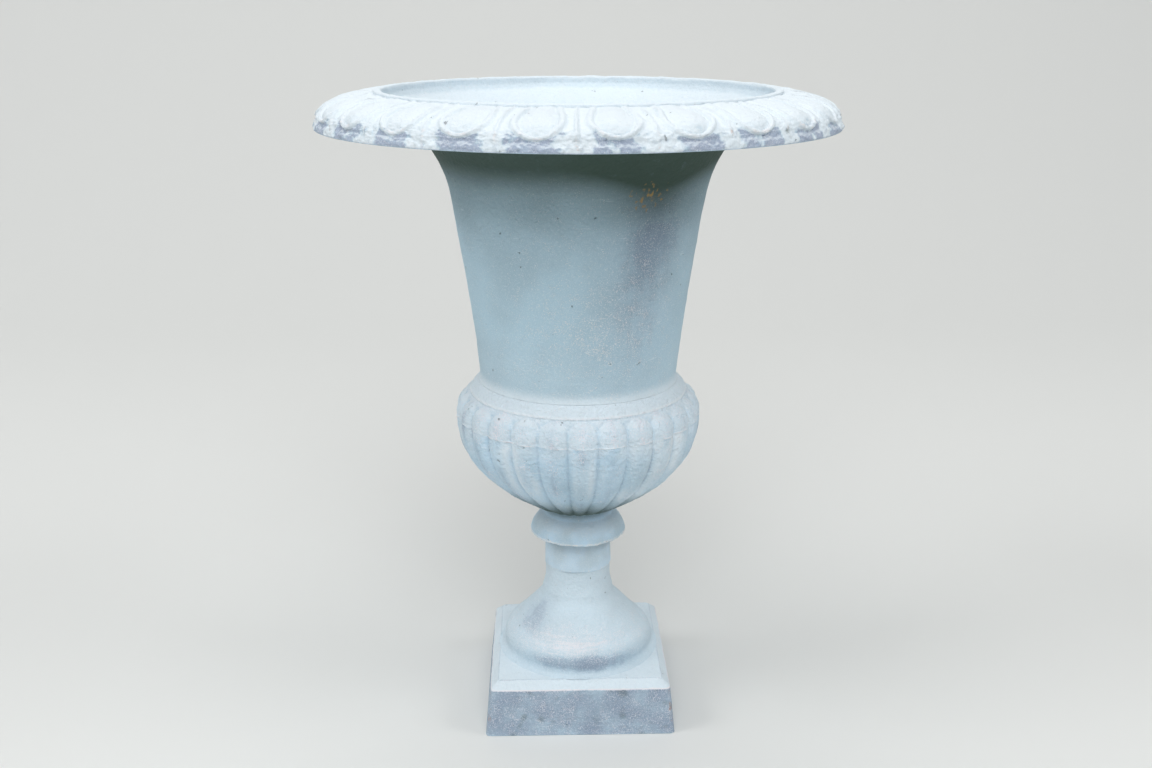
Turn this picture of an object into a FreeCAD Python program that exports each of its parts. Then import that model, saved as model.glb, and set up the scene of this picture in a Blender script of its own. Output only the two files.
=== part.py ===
import FreeCAD, Part
import math
import os

# Garden urn of cast iron: a square foot, a knopped collar, a gadrooned bowl, a trumpet-shaped
# body and an egg-and-dart rim, held together by a tie rod, waist bolts and rim screws.
# All lengths are millimetres. The origin is at the middle of the foot's underside, +Z is up
# and -Y is the front.

# Foot casting: square plinth, dome and stem in one hollow piece
plinth_height = 58.6
plinth_draft = 6.2
plinth_bevel = 9.0
plinth_corner = 6.0
panel_edge = 1.0
panel_step = 0.8
plinth_margin = 4.4
root_fillet = 3.0
dome_skirt = 12.0
dome_shoulder_width = 9.5
dome_shoulder_height = 18.5
dome_shoulder_bow = 2.6
dome_spread = 50.0
dome_height = 72.6
stem_radius = 40.3
stem_flare = 5.7
stem_flare_bow = 1.4
stem_flare_height = 31.0
stem_neck_height = 10.0
foot_wall = 7.5
stem_web = 10.0
spigot_wall = 7.0
spigot_height = 14.0
weep_hole_radius = 4.0
weep_hole_count = 2

# Knopped collar between the foot and the bowl
collar_step = 0.8
collar_wall = 7.5
sleeve_height = 44.0
knop_overhang = 18.2
knop_undercut = 1.2
knop_edge = 2.6
knop_rise = 22.4
knop_bow = 3.2
neck_step = 2.4
neck_height = 11.0
neck_taper = 4.0

# Gadrooned bowl
bowl_lap = 8.5
bowl_spread = 100.6
bowl_depth = 122.0
bowl_curve_power = 2.32
bowl_wall = 7.0
bowl_floor = 9.0
boss_height = 5.0
gadroon_count = 26
gadroon_depth = 3.2
gadroon_base_depth_share = 0.45
gadroon_turn = 0.6
lobe_chords = 4
thumb_step = 0.7
thumb_height = 26.2
thumb_reach = 13.8
thumb_bow = 2.1
backing_inset = 0.9
backing_bow = 3.0
shoulder_height = 44.0
shoulder_inset = 30.7
crease_inset = 17.6
crease_drop = 13.6
crease_bow = 0.8
ledge_thickness = 7.0
drain_hole_radius = 4.0
drain_hole_count = 4

# Trumpet-shaped body
trumpet_height = 227.0
trumpet_spread = 31.7
trumpet_bow = 2.2
trumpet_wall = 6.0
flare_height = 99.3
flare_spread = 76.4
flare_bow = 15.0
waist_flange_width = 19.0
waist_flange_thickness = 7.0
lip_offset = 5.7
lip_thickness = 9.0
lip_rise = 3.2
lip_chamfer = 1.8
seat_thickness = 5.5
seat_width = 14.0

# Egg-and-dart rim ring
rim_overhang = 66.8
rim_drop = 37.0
rim_wall = 5.0
rim_land = 7.0
rim_land_margin = 3.0
rim_edge = 2.6
cavetto_height = 8.5
cavetto_depth = 4.6
cavetto_bow = 1.5
egg_count = 24
egg_start = 5.5
egg_width = 43.0
egg_rise = 3.8
egg_side_share = 0.6
egg_end_share = 0.94
egg_tip_share = 0.28
lip_rise_share = 0.45
lip_taper_power = 6
egg_taper_power = 4
shell_groove = 2.2
shell_band = 5.4
shell_rise = 2.3
shell_crest_end_share = 0.972
shell_foot_end_share = 0.99
shell_tip_share = 0.24
dart_width = 8.0
dart_rise = 2.6
barb_width = 14.0
barb_rise = 1.6
skin_depth = 3.0
skin_backing = 1.6

# Fasteners
rod_radius = 8.0
rod_overrun = 5.0
rod_nut_width = 24.0
rod_nut_height = 13.0
rod_washer_radius = 15.0
rod_washer_thickness = 3.0
waist_bolt_count = 4
waist_bolt_radius = 4.0
waist_bolt_head_width = 13.0
waist_bolt_head_height = 5.5
waist_nut_height = 6.5
waist_bolt_overrun = 3.0
rim_screw_count = 4
rim_screw_radius = 3.0
rim_screw_head_width = 10.0
rim_screw_head_height = 4.0
rim_screw_depth = 4.5
rim_screw_turn = 45.0

# Clearances and the overrun of every cut
seat_gap = 0.3
thread_gap = 0.15
bolt_gap = 0.5
overrun = 2.0

# Round stretches are followed by straight bands, none further than this from the true arc:
# a closer allowance where it shows, a wider one inside
chord_bow = 0.35
hidden_bow = 1.2

# Heights above the underside, worked out from the pieces that stand on each other
bevel_bottom_z = plinth_height
panel_bottom_z = bevel_bottom_z + plinth_bevel
plinth_top_z = panel_bottom_z + panel_step
skirt_top_z = plinth_top_z + dome_skirt
shoulder_top_z = skirt_top_z + dome_shoulder_height
dome_top_z = plinth_top_z + dome_height
stem_neck_z = dome_top_z + stem_flare_height
stem_top_z = stem_neck_z + stem_neck_height
web_bottom_z = stem_top_z - stem_web
knop_bottom_z = stem_top_z + sleeve_height
knop_edge_z = knop_bottom_z + knop_edge
neck_bottom_z = knop_edge_z + knop_rise
bowl_base_z = neck_bottom_z + neck_height
bowl_floor_z = bowl_base_z + bowl_floor
girth_z = bowl_base_z + bowl_depth
waist_z = girth_z + shoulder_height
crease_z = waist_z - crease_drop
ledge_bottom_z = waist_z - ledge_thickness
cone_top_z = waist_z + trumpet_height
seat_bottom_z = cone_top_z + flare_height
seat_top_z = seat_bottom_z + seat_thickness
rim_top_z = seat_top_z + rim_land
lip_top_z = rim_top_z + lip_rise
rim_bottom_z = rim_top_z - rim_drop

# Radii, worked out from the inside of the foot outwards
dome_kink_radius = stem_radius + stem_flare
dome_radius = dome_kink_radius + dome_spread
shoulder_radius = dome_radius - dome_shoulder_width
panel_half = dome_radius + plinth_margin
bevel_half = panel_half + panel_edge
plinth_top_half = bevel_half + plinth_bevel
plinth_base_half = plinth_top_half + plinth_draft
sleeve_radius = stem_radius + collar_step
collar_bore = sleeve_radius - collar_wall
spigot_radius = collar_bore - seat_gap
knop_radius = sleeve_radius + knop_overhang
neck_bottom_radius = sleeve_radius + neck_step
neck_top_radius = neck_bottom_radius - neck_taper
bowl_base_radius = neck_top_radius + bowl_lap
girth_radius = bowl_base_radius + bowl_spread
waist_radius = girth_radius - shoulder_inset
crease_radius = girth_radius - crease_inset
throat_radius = waist_radius - trumpet_wall - waist_flange_width
waist_bolt_circle = throat_radius + waist_flange_width / 2
cone_top_radius = waist_radius + trumpet_spread
seat_root_radius = cone_top_radius + flare_spread
lip_radius = seat_root_radius + lip_offset
mouth_radius = lip_radius - lip_thickness
seat_radius = lip_radius + seat_width
rim_inner_radius = lip_radius + seat_gap
rim_radius = lip_radius + rim_overhang
rim_screw_circle = lip_radius + seat_width / 2
drain_circle = (rod_washer_radius + spigot_radius) / 2


def at(radius, height):
    """A point of an outline in the XZ plane, which is spun about Z."""
    return FreeCAD.Vector(radius, 0, height)


def lean(start, end):
    """The angle of a chord from upright, in radians, growing as it leans outwards."""
    return math.atan2(end.x - start.x, end.z - start.z)


def off(point, angle, distance):
    """A point moved inwards, square to a surface that leans by the angle from upright."""
    return at(point.x - distance * math.cos(angle), point.z + distance * math.sin(angle))


def bowed(start, end, bow, allowance=chord_bow):
    """Points along an arc whose middle stands the bow inwards of its chord, without the end point."""
    arc = Part.Arc(start, off((start + end) / 2, lean(start, end), bow), end)
    bands = math.ceil(math.sqrt(abs(bow) / allowance))
    return arc.discretize(Number=bands + 1)[:-1]


def inset(points, distance):
    """The same line moved inwards, each point square to the chord between its neighbours."""
    moved = []
    for index, point in enumerate(points):
        before = points[max(index - 1, 0)]
        after = points[min(index + 1, len(points) - 1)]
        moved.append(off(point, lean(before, after), distance))
    return moved


def turned(shape, degrees):
    """A copy of a shape, turned about Z."""
    copy = shape.copy()
    copy.rotate(FreeCAD.Vector(0, 0, 0), FreeCAD.Vector(0, 0, 1), degrees)
    return copy


def spin(points, degrees=360):
    """The solid that a closed outline sweeps about Z, to either side of the XZ plane."""
    face = Part.Face(Part.makePolygon(points + points[:1]))
    return turned(face, -degrees / 2).revolve(FreeCAD.Vector(0, 0, 0), FreeCAD.Vector(0, 0, 1), degrees)


def disc(radius, bottom_z, height):
    """An upright cylinder on the axis."""
    return Part.makeCylinder(radius, height, at(0, bottom_z))


def ring_of(shape, count, first_angle):
    """Copies of a shape made at angle 0, evenly spaced about Z from the first angle."""
    return [turned(shape, first_angle + 360 * index / count) for index in range(count)]


def hexagon(width, height, bottom_z):
    """A hexagonal prism on the axis, measured across its flats."""
    corner = width / math.sqrt(3)
    points = [
        FreeCAD.Vector(corner * math.cos(math.radians(60 * k)), corner * math.sin(math.radians(60 * k)), bottom_z)
        for k in range(7)
    ]
    return Part.Face(Part.makePolygon(points)).extrude(FreeCAD.Vector(0, 0, height))


def hex_nut(width, height, bottom_z, hole_radius):
    """A plain hexagonal nut on the axis."""
    return hexagon(width, height, bottom_z).cut(disc(hole_radius, bottom_z - overrun, height + 2 * overrun))


def rounded_square(half, corner, height):
    """A square outline with round corners, level at the height."""
    inner = half - corner
    edges = []
    for quarter in range(4):
        turn = math.radians(90 * quarter)
        side = FreeCAD.Vector(math.cos(turn), math.sin(turn), 0)
        along = FreeCAD.Vector(-math.sin(turn), math.cos(turn), 0)
        level = FreeCAD.Vector(0, 0, height)
        start = side * half - along * inner + level
        end = side * half + along * inner + level
        centre = (side + along) * inner + level
        diagonal = (side + along) * (corner / math.sqrt(2))
        edges.append(Part.LineSegment(start, end).toShape())
        edges.append(Part.Arc(end, centre + diagonal, along * half + side * inner + level).toShape())
    return Part.Wire(edges)


def foot():
    """The hollow foot: plinth, dome and stem, with a spigot that centres the collar."""
    block = Part.makeLoft([
        rounded_square(plinth_base_half, plinth_corner, 0),
        rounded_square(plinth_top_half, plinth_corner, bevel_bottom_z),
        rounded_square(bevel_half, plinth_corner, panel_bottom_z),
    ], True, True)
    panel_wire = rounded_square(panel_half, plinth_corner, panel_bottom_z - overrun)
    panel = Part.Face(panel_wire).extrude(FreeCAD.Vector(0, 0, panel_step + overrun))

    shoulder = at(shoulder_radius, shoulder_top_z)
    kink = at(dome_kink_radius, dome_top_z)
    dome = spin([
        at(0, plinth_top_z - panel_step),
        at(dome_radius + root_fillet, plinth_top_z - panel_step),
        at(dome_radius + root_fillet, plinth_top_z),
        at(dome_radius, plinth_top_z + root_fillet),
        *bowed(at(dome_radius, skirt_top_z), shoulder, -dome_shoulder_bow),
        shoulder,
        *bowed(kink, at(stem_radius, stem_neck_z), stem_flare_bow),
        at(stem_radius, stem_neck_z),
        at(stem_radius, stem_top_z),
        at(0, stem_top_z),
    ])
    spigot = disc(spigot_radius, stem_top_z - overrun, spigot_height + overrun)
    body = block.fuse([panel, dome, spigot])

    square_hollow = Part.makeLoft([
        rounded_square(plinth_base_half - foot_wall, plinth_corner, 0),
        rounded_square(plinth_top_half - foot_wall, plinth_corner, bevel_bottom_z - foot_wall),
        rounded_square(bevel_half - foot_wall, plinth_corner, panel_bottom_z - foot_wall),
    ], True, True)
    slope = lean(shoulder, kink)
    inner_shoulder = off(shoulder, slope, foot_wall)
    inner_kink = off(kink, slope / 2, foot_wall)
    inner_skirt = at(dome_radius - foot_wall, min(skirt_top_z, inner_shoulder.z - dome_shoulder_height / 2))
    hollow_bottom = at(dome_radius - foot_wall, panel_bottom_z - foot_wall - overrun)
    round_hollow = spin([
        hollow_bottom, inner_skirt, inner_shoulder, inner_kink, at(stem_radius - foot_wall, web_bottom_z),
        at(0, web_bottom_z), at(0, hollow_bottom.z),
    ])
    cup = disc(spigot_radius - spigot_wall, stem_top_z, spigot_height + overrun)
    rod_hole = disc(rod_radius + bolt_gap, web_bottom_z - overrun, stem_web + 2 * overrun)
    weep = Part.makeCylinder(weep_hole_radius, stem_web + 2 * overrun, at(weep_circle(), web_bottom_z - overrun))
    return body.cut([square_hollow, round_hollow, cup, rod_hole] + ring_of(weep, weep_hole_count, 0))


def weep_circle():
    """The circle of the weep holes, midway between the washer and the inside of the spigot."""
    return (rod_washer_radius + spigot_radius - spigot_wall) / 2


def knop_collar():
    """The sleeve with its overhanging knop and the neck that carries the bowl."""
    edge_top = at(knop_radius, knop_edge_z)
    neck_bottom = at(neck_bottom_radius, neck_bottom_z)
    return spin([
        at(collar_bore, stem_top_z),
        at(sleeve_radius, stem_top_z),
        at(sleeve_radius, knop_bottom_z + knop_undercut),
        at(knop_radius, knop_bottom_z),
        *bowed(edge_top, neck_bottom, -knop_bow),
        neck_bottom,
        at(neck_top_radius, bowl_base_z),
        at(collar_bore, bowl_base_z),
    ])


def crest_radius(share):
    """The radius of the gadroons' crests, at a share of the way from the bowl's base to its girth."""
    return bowl_base_radius + bowl_spread * (1 - (1 - share) ** bowl_curve_power)


def lobed_wire(radius, depth, height):
    """A level outline of one round lobe per gadroon, which meet in sharp valleys."""
    points = []
    for index in range(gadroon_count * lobe_chords):
        share = index / lobe_chords
        off_crest = 2 * abs(share % 1 - 1 / 2)
        reach = radius - depth * off_crest ** 2
        turn = math.radians(gadroon_turn - 90 + 360 / gadroon_count * (share - 1 / 2))
        points.append(FreeCAD.Vector(reach * math.cos(turn), reach * math.sin(turn), height))
    return Part.makePolygon(points + points[:1])


def gadroons():
    """The long lobes below the girth, lofted through level outlines."""
    station_shares = (0, 0.1, 0.22, 0.37, 0.55, 0.76, 1)
    wires = []
    for share in station_shares:
        radius = crest_radius(share)
        depth_share = gadroon_base_depth_share + (1 - gadroon_base_depth_share) * radius / girth_radius
        wires.append(lobed_wire(radius, gadroon_depth * depth_share, bowl_base_z + bowl_depth * share))
    return Part.makeLoft(wires, True, True)


def thumbs():
    """The short lobes above the girth, which stand a little proud of those below."""
    start = at(girth_radius + thumb_step, girth_z)
    end = at(girth_radius - thumb_reach, girth_z + thumb_height)
    wires = [lobed_wire(point.x, gadroon_depth, point.z) for point in bowed(start, end, -thumb_bow) + [end]]
    return Part.makeLoft(wires, True, True)


def gadrooned_bowl():
    """The bowl: lobes, plain shoulder, an inner ledge for the body's flange and a pierced floor."""
    backing = at(girth_radius - gadroon_depth - backing_inset, girth_z - overrun)
    crease = at(crease_radius, crease_z)
    waist = at(waist_radius, waist_z)
    shoulder = spin([
        at(0, backing.z), *bowed(backing, crease, -backing_bow), *bowed(crease, waist, crease_bow), waist,
        at(0, waist_z),
    ])
    boss = disc(spigot_radius, bowl_base_z - boss_height, boss_height + overrun)
    body = gadroons().fuse([thumbs(), shoulder, boss])

    hollow_shares = (0.12, 0.3, 0.55, 1)
    inner = []
    for share in hollow_shares:
        slope = math.atan2(
            bowl_spread * bowl_curve_power * (1 - share) ** (bowl_curve_power - 1), bowl_depth)
        point = at(crest_radius(share) - gadroon_depth, bowl_base_z + bowl_depth * share)
        inner.append(off(point, slope, bowl_wall))
    floor_edge = at(inner[0].x - bowl_wall, bowl_floor_z)
    inner_shoulder = at(crease_radius - bowl_wall, ledge_bottom_z - bowl_wall)
    hollow = spin(
        [at(0, bowl_floor_z), floor_edge] + inner
        + [inner_shoulder, at(waist_radius - bowl_wall, ledge_bottom_z), at(0, ledge_bottom_z)])
    throat = disc(throat_radius, ledge_bottom_z - overrun, ledge_thickness + 2 * overrun)
    through = bowl_floor + boss_height + 2 * overrun
    rod_hole = disc(rod_radius + bolt_gap, bowl_base_z - boss_height - overrun, through)
    drain = Part.makeCylinder(drain_hole_radius, through, at(drain_circle, bowl_base_z - boss_height - overrun))
    bolt_hole = Part.makeCylinder(
        waist_bolt_radius + bolt_gap, ledge_thickness + 2 * overrun, at(waist_bolt_circle, ledge_bottom_z - overrun))
    return body.cut(
        [hollow, throat, rod_hole] + ring_of(drain, drain_hole_count, 0) + ring_of(bolt_hole, waist_bolt_count, 0))


def trumpet_body():
    """The trumpet: a thin shell with a bolted waist flange, a seat for the rim and a raised lip."""
    waist = at(waist_radius, waist_z)
    cone_top = at(cone_top_radius, cone_top_z)
    seat_root = at(seat_root_radius, seat_bottom_z)
    outside = bowed(waist, cone_top, trumpet_bow) + bowed(cone_top, seat_root, flare_bow) + [seat_root]
    behind = (
        bowed(waist, cone_top, trumpet_bow, hidden_bow) + bowed(cone_top, seat_root, flare_bow, hidden_bow)
        + [seat_root])
    inside = inset(behind, trumpet_wall)
    flange_top_z = waist_z + waist_flange_thickness
    inside[0] = at(inside[0].x, flange_top_z)
    shell = spin(outside + [
        at(seat_radius, seat_bottom_z),
        at(seat_radius, seat_top_z),
        at(lip_radius, seat_top_z),
        at(lip_radius, lip_top_z - lip_chamfer),
        at(lip_radius - lip_chamfer, lip_top_z),
        at(mouth_radius + lip_chamfer, lip_top_z),
        at(mouth_radius, lip_top_z - lip_chamfer),
        at(mouth_radius, inside[-1].z),
        *reversed(inside),
        at(throat_radius, flange_top_z),
        at(throat_radius, waist_z),
    ])
    bolt_hole = Part.makeCylinder(
        waist_bolt_radius + bolt_gap, waist_flange_thickness + 2 * overrun, at(waist_bolt_circle, waist_z - overrun))
    screw_hole = Part.makeCylinder(
        rim_screw_radius + bolt_gap, seat_thickness + 2 * overrun, at(rim_screw_circle, seat_bottom_z - overrun))
    return shell.cut(
        ring_of(bolt_hole, waist_bolt_count, 0) + ring_of(screw_hole, rim_screw_count, rim_screw_turn))


def ovolo(share):
    """A point of the rim's quarter-round face, from the lip at 0 to the top of the cavetto at 1."""
    turn = share * math.pi / 2
    reach = rim_radius - cavetto_depth - rim_inner_radius
    drop = rim_drop - rim_edge - cavetto_height
    return at(rim_inner_radius + reach * math.sin(turn), rim_top_z - drop + drop * math.cos(turn))


def raised(share, angle, rise):
    """A point that stands the rise above the ovolo face, square to it, at an angle about Z."""
    turn = share * math.pi / 2
    reach = rim_radius - cavetto_depth - rim_inner_radius
    drop = rim_drop - rim_edge - cavetto_height
    out = at(math.sin(turn) / reach, math.cos(turn) / drop)
    point = ovolo(share) + out / out.Length * rise
    return FreeCAD.Rotation(FreeCAD.Vector(0, 0, 1), angle).multVec(point)


def rounded_end(offset, half_width, end_share, tip_share):
    """Where a round-ended form stops down the ovolo, at an offset from its middle line."""
    side = min(abs(offset) / half_width, 1)
    return end_share - tip_share * (1 - math.sqrt(1 - side ** 2))


def lip_taper(share):
    """How much of its rise the ornament has, at a share of the way down from the lip."""
    return 1 - (1 - lip_rise_share) * (1 - share) ** lip_taper_power


def egg_taper(share):
    """How much of its rise an egg has left, at a share of the way down to its tip."""
    return math.sqrt(1 - share ** egg_taper_power)


def flow_line(offset, top_rise, end_rise, crest_rise, foot_rise, foot_offset):
    """One line of the rim's ornament, from the lip down to the cavetto, closed through the block.

    Offsets are measured round the ovolo from the egg's middle. The line stands the top rise above
    the ovolo and the end rise where the egg stops, then the crest rise where the shell rounds
    the egg's tip, and the foot rise below it, where it has moved to the foot offset.
    """
    body_shares = (0, 0.4, 0.8, 1)
    half_band = shell_band / 2
    crest_line = egg_width / 2 + shell_groove + half_band
    body_end = rounded_end(offset, egg_width / 2, egg_end_share, egg_tip_share)
    crest_end = rounded_end(offset, crest_line, shell_crest_end_share, shell_tip_share)
    foot_end = rounded_end(offset, crest_line + half_band, shell_foot_end_share, shell_tip_share)
    angle = math.degrees(offset / ovolo(1).x)
    foot_angle = math.degrees(foot_offset / ovolo(1).x)
    points = []
    for share in body_shares:
        rise = end_rise + (top_rise - end_rise) * egg_taper(share)
        points.append(raised(body_end * share, angle, rise * lip_taper(share)))
    points.append(raised(crest_end, angle, crest_rise))
    points.append(raised(foot_end, angle, foot_rise))
    points.append(raised(1, foot_angle, foot_rise))
    points.append(raised(1, foot_angle, -skin_depth))
    inner_radius = rim_inner_radius - overrun
    around = FreeCAD.Rotation(FreeCAD.Vector(0, 0, 1), angle)
    points.append(around.multVec(at(inner_radius, rim_top_z - skin_depth)))
    points.append(around.multVec(at(inner_radius, points[0].z)))
    return Part.makePolygon(points + points[:1])


def ornament():
    """One egg in its shell and half a dart to each side, lofted through lines down the ovolo."""
    egg_edge = egg_width / 2
    egg_side = egg_edge * egg_side_share
    side_rise = egg_rise * math.sqrt(1 - egg_side_share ** 2)
    shell_crest = egg_edge + shell_groove + shell_band / 2
    shell_foot = egg_edge + shell_groove + shell_band
    dart_crest = math.radians(180 / egg_count) * ovolo(1).x
    dart_foot = dart_crest - dart_width / 2
    barb = dart_crest - barb_width / 2
    half = [
        (egg_side, side_rise, 0, shell_rise, 0, egg_side),
        (egg_edge, 0, 0, shell_rise, 0, egg_edge),
        (shell_crest, shell_rise, shell_rise, shell_rise, 0, shell_crest),
        (shell_foot, 0, 0, 0, 0, shell_foot),
        (dart_foot, 0, 0, 0, barb_rise, barb),
        (dart_crest, dart_rise, dart_rise, dart_rise, dart_rise, dart_crest),
    ]
    wires = [flow_line(-line[0], *line[1:5], -line[5]) for line in reversed(half)]
    wires.append(flow_line(0, egg_rise, 0, shell_rise, 0, 0))
    wires += [flow_line(*line) for line in half]
    return Part.makeLoft(wires, True, True)


def rim_block():
    """One egg's share of the rim behind its ornament: ovolo, cavetto and edge, as a solid block."""
    steps = 6
    cavetto_top = raised(1, 0, -skin_backing)
    edge_top = at(rim_radius, rim_bottom_z + rim_edge)
    inner_radius = rim_inner_radius - overrun
    return spin(
        [at(inner_radius, rim_top_z - skin_backing)]
        + [raised(index / steps, 0, -skin_backing) for index in range(steps)]
        + bowed(cavetto_top, edge_top, -cavetto_bow)
        + [edge_top, at(rim_radius, rim_bottom_z), at(inner_radius, rim_bottom_z)],
        360 / egg_count,
    )


def rim_hollow():
    """The space under one egg's share of the rim, a wall inside its face, up to the land."""
    hollow_shares = (0.35, 0.7, 1)
    below = rim_bottom_z - overrun
    inside = rim_inner_radius - 2 * overrun
    return spin(
        [at(inside, seat_top_z), at(seat_radius + rim_land_margin, seat_top_z)]
        + [raised(share, 0, -rim_wall) for share in hollow_shares]
        + [at(rim_radius - rim_wall, below), at(inside, below)],
        2 * 360 / egg_count,
    )


def closed_ring(sector, count):
    """The whole ring that copies of one sector make, without the faces where they meet."""
    side = 180 / count
    tolerance = 1e-5
    outer_faces = []
    for face in sector.Faces:
        middle = face.CenterOfMass
        angle = math.degrees(math.atan2(middle.y, middle.x))
        if not math.isclose(abs(angle), side, rel_tol=tolerance):
            outer_faces.append(face)
    faces = []
    for face in outer_faces:
        faces += ring_of(face, count, 0)
    return Part.makeSolid(Part.makeShell(faces))


def rim_ring():
    """The egg-and-dart rim: an ovolo over a hollow, seated on the body's flange round the lip."""
    above = lip_top_z - seat_top_z + overrun
    bore = Part.makeCylinder(rim_inner_radius, above, at(0, seat_top_z - overrun))
    sector = rim_block().fuse(ornament()).cut([rim_hollow(), bore])
    ring = turned(closed_ring(sector, egg_count), egg_start - 90)
    screw_hole = Part.makeCylinder(
        rim_screw_radius + thread_gap, rim_screw_depth + overrun, at(rim_screw_circle, seat_top_z - overrun))
    return ring.cut(ring_of(screw_hole, rim_screw_count, rim_screw_turn))


def washer(bottom_z):
    """A flat washer on the tie rod."""
    plate = disc(rod_washer_radius, bottom_z, rod_washer_thickness)
    return plate.cut(disc(rod_radius + bolt_gap, bottom_z - overrun, rod_washer_thickness + 2 * overrun))


def tie_rod():
    """The rod that clamps the bowl, the collar and the foot together."""
    bottom_z = web_bottom_z - rod_washer_thickness - rod_nut_height - rod_overrun
    top_z = bowl_floor_z + rod_washer_thickness + rod_nut_height + rod_overrun
    return disc(rod_radius, bottom_z, top_z - bottom_z)


def waist_bolt():
    """One hexagon-headed bolt through the body's flange and the bowl's ledge, at angle 0."""
    head_z = waist_z + waist_flange_thickness
    grip = waist_flange_thickness + ledge_thickness + waist_nut_height + waist_bolt_overrun
    head = hex_nut(waist_bolt_head_width, waist_bolt_head_height, head_z, waist_bolt_radius)
    shank = disc(waist_bolt_radius, head_z - grip, grip + waist_bolt_head_height)
    bolt = head.fuse(shank).removeSplitter()
    bolt.translate(at(waist_bolt_circle, 0))
    return bolt


def waist_nut():
    """One nut under the bowl's ledge, at angle 0."""
    nut = hex_nut(
        waist_bolt_head_width, waist_nut_height, ledge_bottom_z - waist_nut_height, waist_bolt_radius + thread_gap)
    nut.translate(at(waist_bolt_circle, 0))
    return nut


def rim_screw():
    """One screw that comes up through the seat into the rim's land, at angle 0."""
    head_z = seat_bottom_z - rim_screw_head_height
    head = hex_nut(rim_screw_head_width, rim_screw_head_height, head_z, rim_screw_radius)
    shank = disc(rim_screw_radius, head_z, rim_screw_head_height + seat_thickness + rim_screw_depth - seat_gap)
    screw = head.fuse(shank).removeSplitter()
    screw.translate(at(rim_screw_circle, 0))
    return screw


def write(name, shape):
    """Writes one piece, or one group of like pieces, to its own file."""
    shape.exportStep(os.path.join("parts", name + ".step"))
    print(name, len(shape.Solids), "solids", round(shape.Volume / 1000), "cm3", shape.isValid())


os.makedirs("parts", exist_ok=True)
write("foot", foot())
write("knop_collar", knop_collar())
write("gadrooned_bowl", gadrooned_bowl())
write("trumpet_body", trumpet_body())
write("rim_ring", rim_ring())
write("tie_rod", tie_rod())
upper_washer_z = bowl_floor_z
lower_washer_z = web_bottom_z - rod_washer_thickness
write("upper_rod_washer", washer(upper_washer_z))
write("lower_rod_washer", washer(lower_washer_z))
nut_hole = rod_radius + thread_gap
write("upper_rod_nut", hex_nut(rod_nut_width, rod_nut_height, upper_washer_z + rod_washer_thickness, nut_hole))
write("lower_rod_nut", hex_nut(rod_nut_width, rod_nut_height, lower_washer_z - rod_nut_height, nut_hole))
write("waist_bolts", Part.makeCompound(ring_of(waist_bolt(), waist_bolt_count, 0)))
write("waist_nuts", Part.makeCompound(ring_of(waist_nut(), waist_bolt_count, 0)))
write("rim_screws", Part.makeCompound(ring_of(rim_screw(), rim_screw_count, rim_screw_turn)))
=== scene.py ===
"""A garden urn of painted and weathered cast iron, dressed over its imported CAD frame."""

import logging
import math
from dataclasses import dataclass
from enum import Enum

import bpy
import numpy as np
from mathutils import Euler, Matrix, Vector


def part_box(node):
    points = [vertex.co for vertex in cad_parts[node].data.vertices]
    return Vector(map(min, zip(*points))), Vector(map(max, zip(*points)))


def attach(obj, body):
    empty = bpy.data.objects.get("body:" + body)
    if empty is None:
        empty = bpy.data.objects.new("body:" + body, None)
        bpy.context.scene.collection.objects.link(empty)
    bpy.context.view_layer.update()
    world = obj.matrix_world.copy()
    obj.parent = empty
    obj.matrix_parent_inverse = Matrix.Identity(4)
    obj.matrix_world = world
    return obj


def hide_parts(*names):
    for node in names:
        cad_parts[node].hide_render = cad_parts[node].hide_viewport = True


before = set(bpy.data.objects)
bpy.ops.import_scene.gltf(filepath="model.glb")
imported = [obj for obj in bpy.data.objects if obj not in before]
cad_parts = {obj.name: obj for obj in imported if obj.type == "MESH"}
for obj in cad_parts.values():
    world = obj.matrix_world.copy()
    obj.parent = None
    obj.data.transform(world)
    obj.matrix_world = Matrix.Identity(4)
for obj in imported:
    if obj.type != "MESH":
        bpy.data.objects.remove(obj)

log = logging.getLogger("urn")

MM = 0.001
LEAST_STEP = 1e-6


# Numbers and fields


def srgb(code: str) -> tuple[float, float, float, float]:
    """Turns an sRGB hex colour to linear values.

    Args:
        code: Six hex digits with a leading hash.

    Returns:
        Red, green, blue and an alpha of one.
    """
    values = []
    for start in (1, 3, 5):
        share = int(code[start : start + 2], 16) / 255
        values.append(share / 12.92 if share <= 0.04045 else ((share + 0.055) / 1.055) ** 2.4)
    return (values[0], values[1], values[2], 1.0)


def ease(value: np.ndarray, none: float, full: float) -> np.ndarray:
    """Changes smoothly from 0 to 1.

    Args:
        value: Where to read the change.
        none: The value at which it is 0.
        full: The value at which it is 1, which may be the lower one.

    Returns:
        Shares from 0 to 1.
    """
    share = np.clip((value - none) / (full - none), 0, 1)
    return share * share * (3 - 2 * share)


def bead(value: np.ndarray, centre: float, width: float) -> np.ndarray:
    """A round ridge of height one.

    Args:
        value: Distance across the ridge, in mm.
        centre: Where its crest is, in mm.
        width: Its full width, in mm.

    Returns:
        Shares from 0 to 1.
    """
    across = np.clip(2 * (value - centre) / width, -1, 1)
    return (1 - across**2) ** 1.5


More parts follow.
